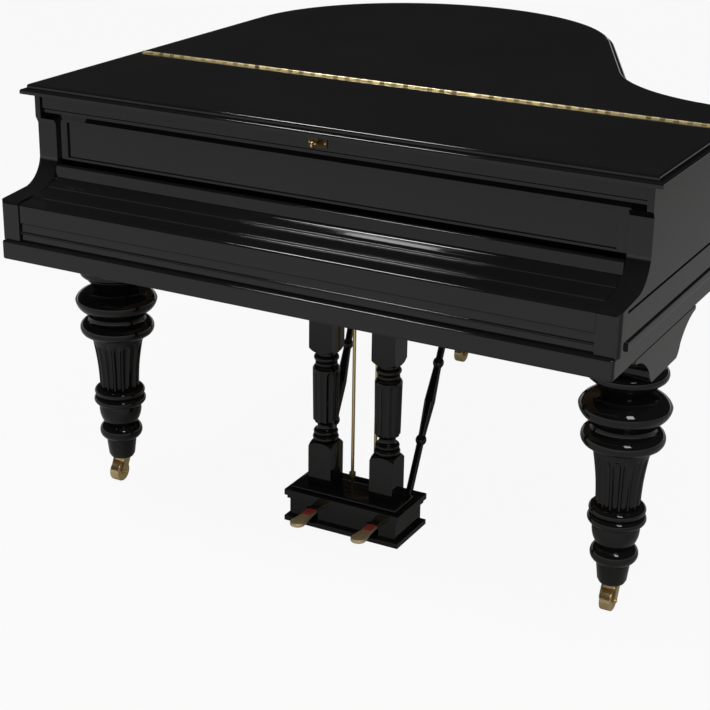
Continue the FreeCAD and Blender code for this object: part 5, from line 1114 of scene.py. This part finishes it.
print("floor", FLOOR_REACH * 2, "m")

# %% [markdown]
# The lid mirrors what is above the piano, and in a white room it would turn white. So only the camera
# sees white all round. Reflections see a room that is white up to the horizon and fades to a dim ceiling
# just above it, and everything else is lit evenly.

# %% Room
WALL = 0.945
CEILING = 0.018
FADE = (0.03, 0.12)
EVEN_LIGHT = 0.35

world = bpy.data.worlds.new("studio")
bpy.context.scene.world = world
world.use_nodes = True
room = Graph(world.node_tree)
direction = room.node("ShaderNodeTexCoord", output="Generated")
dim = room.spread(room.node("ShaderNodeSeparateXYZ", None, {"Vector": direction}, 2), *FADE)
seen = room.ray("Camera")
mirrored = room.spread(room.ray("Glossy") + room.ray("Transmission"), 0.0, 1.0)
level = seen * WALL + mirrored * (WALL - dim * (WALL - CEILING)) + (1.0 - seen - mirrored) * EVEN_LIGHT
sky = room.node("ShaderNodeBackground", None, {"Color": WHITE, "Strength": level})
room.node("ShaderNodeOutputWorld", None, {"Surface": sky})
print("room: wall", WALL, "ceiling", CEILING, "even light", EVEN_LIGHT)

# %% [markdown]
# Three lamps do the rest. A long edge mirrors a lamp as one line, and only a lamp to the left can be seen
# in it from where the camera stands. So the lamp on the left is the brightest. It is long and narrow and
# hangs high, where the rounded edges catch it as thin white lines but the flat boards don't. The two
# other soft lamps hang in front, one overhead and one to the right, so high that the lid doesn't mirror
# them to an eye at a low angle.

# %% Lamps
def soft_lamp(name, place, target, size, power):
    lamp = bpy.data.lights.new(name, "AREA")
    lamp.shape = "RECTANGLE"
    lamp.size, lamp.size_y = size
    lamp.energy = power
    stand = bpy.data.objects.new(name, lamp)
    stand.location = place
    stand.rotation_euler = (Vector(target) - Vector(place)).to_track_quat("-Z", "Y").to_euler()
    stage.objects.link(stand)
    print(name, power, "W")


soft_lamp("left_softbox", place=(-1.4, -1.3, 3.75), target=(-0.2, -0.7, 0.85), size=(1.6, 0.32), power=60)
soft_lamp("top_softbox", place=(0.9, -1.9, 4.3), target=(0.1, -0.4, 0.7), size=(1.4, 1.4), power=30)
soft_lamp("right_softbox", place=(2.2, -2.6, 3.6), target=(0.2, -0.3, 0.5), size=(1.0, 1.4), power=45)

# %% [markdown]
# ## Camera
# The camera was worked out from the photograph: the place, the direction and a slight tilt. It stands at
# the treble end, a little above the lid.

# %% Camera
CAMERA_PLACE = Vector((1.69374, -3.65463, 1.85916))
AZIMUTH, ELEVATION, TILT = (math.radians(angle) for angle in (28.17, 21.36, 0.91))
LENS = 86.02
SENSOR_WIDTH = 36.0

back = Vector((math.sin(AZIMUTH) * math.cos(ELEVATION), -math.cos(AZIMUTH) * math.cos(ELEVATION),
               math.sin(ELEVATION)))
level_right = Vector((math.cos(AZIMUTH), math.sin(AZIMUTH), 0))
level_up = back.cross(level_right)
right = level_right * math.cos(TILT) + level_up * math.sin(TILT)
up = level_up * math.cos(TILT) - level_right * math.sin(TILT)
camera = bpy.data.objects.new("camera", bpy.data.cameras.new("camera"))
camera.data.lens = LENS
camera.data.sensor_width = SENSOR_WIDTH
camera.matrix_world = Matrix.Translation(CAMERA_PLACE) @ Matrix((right, up, back)).transposed().to_4x4()
stage.objects.link(camera)
bpy.context.scene.camera = camera
bpy.context.scene.view_settings.view_transform = "Standard"
print("camera at", [round(value, 3) for value in CAMERA_PLACE])

# %% [markdown]
# ## End
# The piano, its fittings, the floor, the room, the lamps and the camera are now in place.

# %% End
print("scene ready")
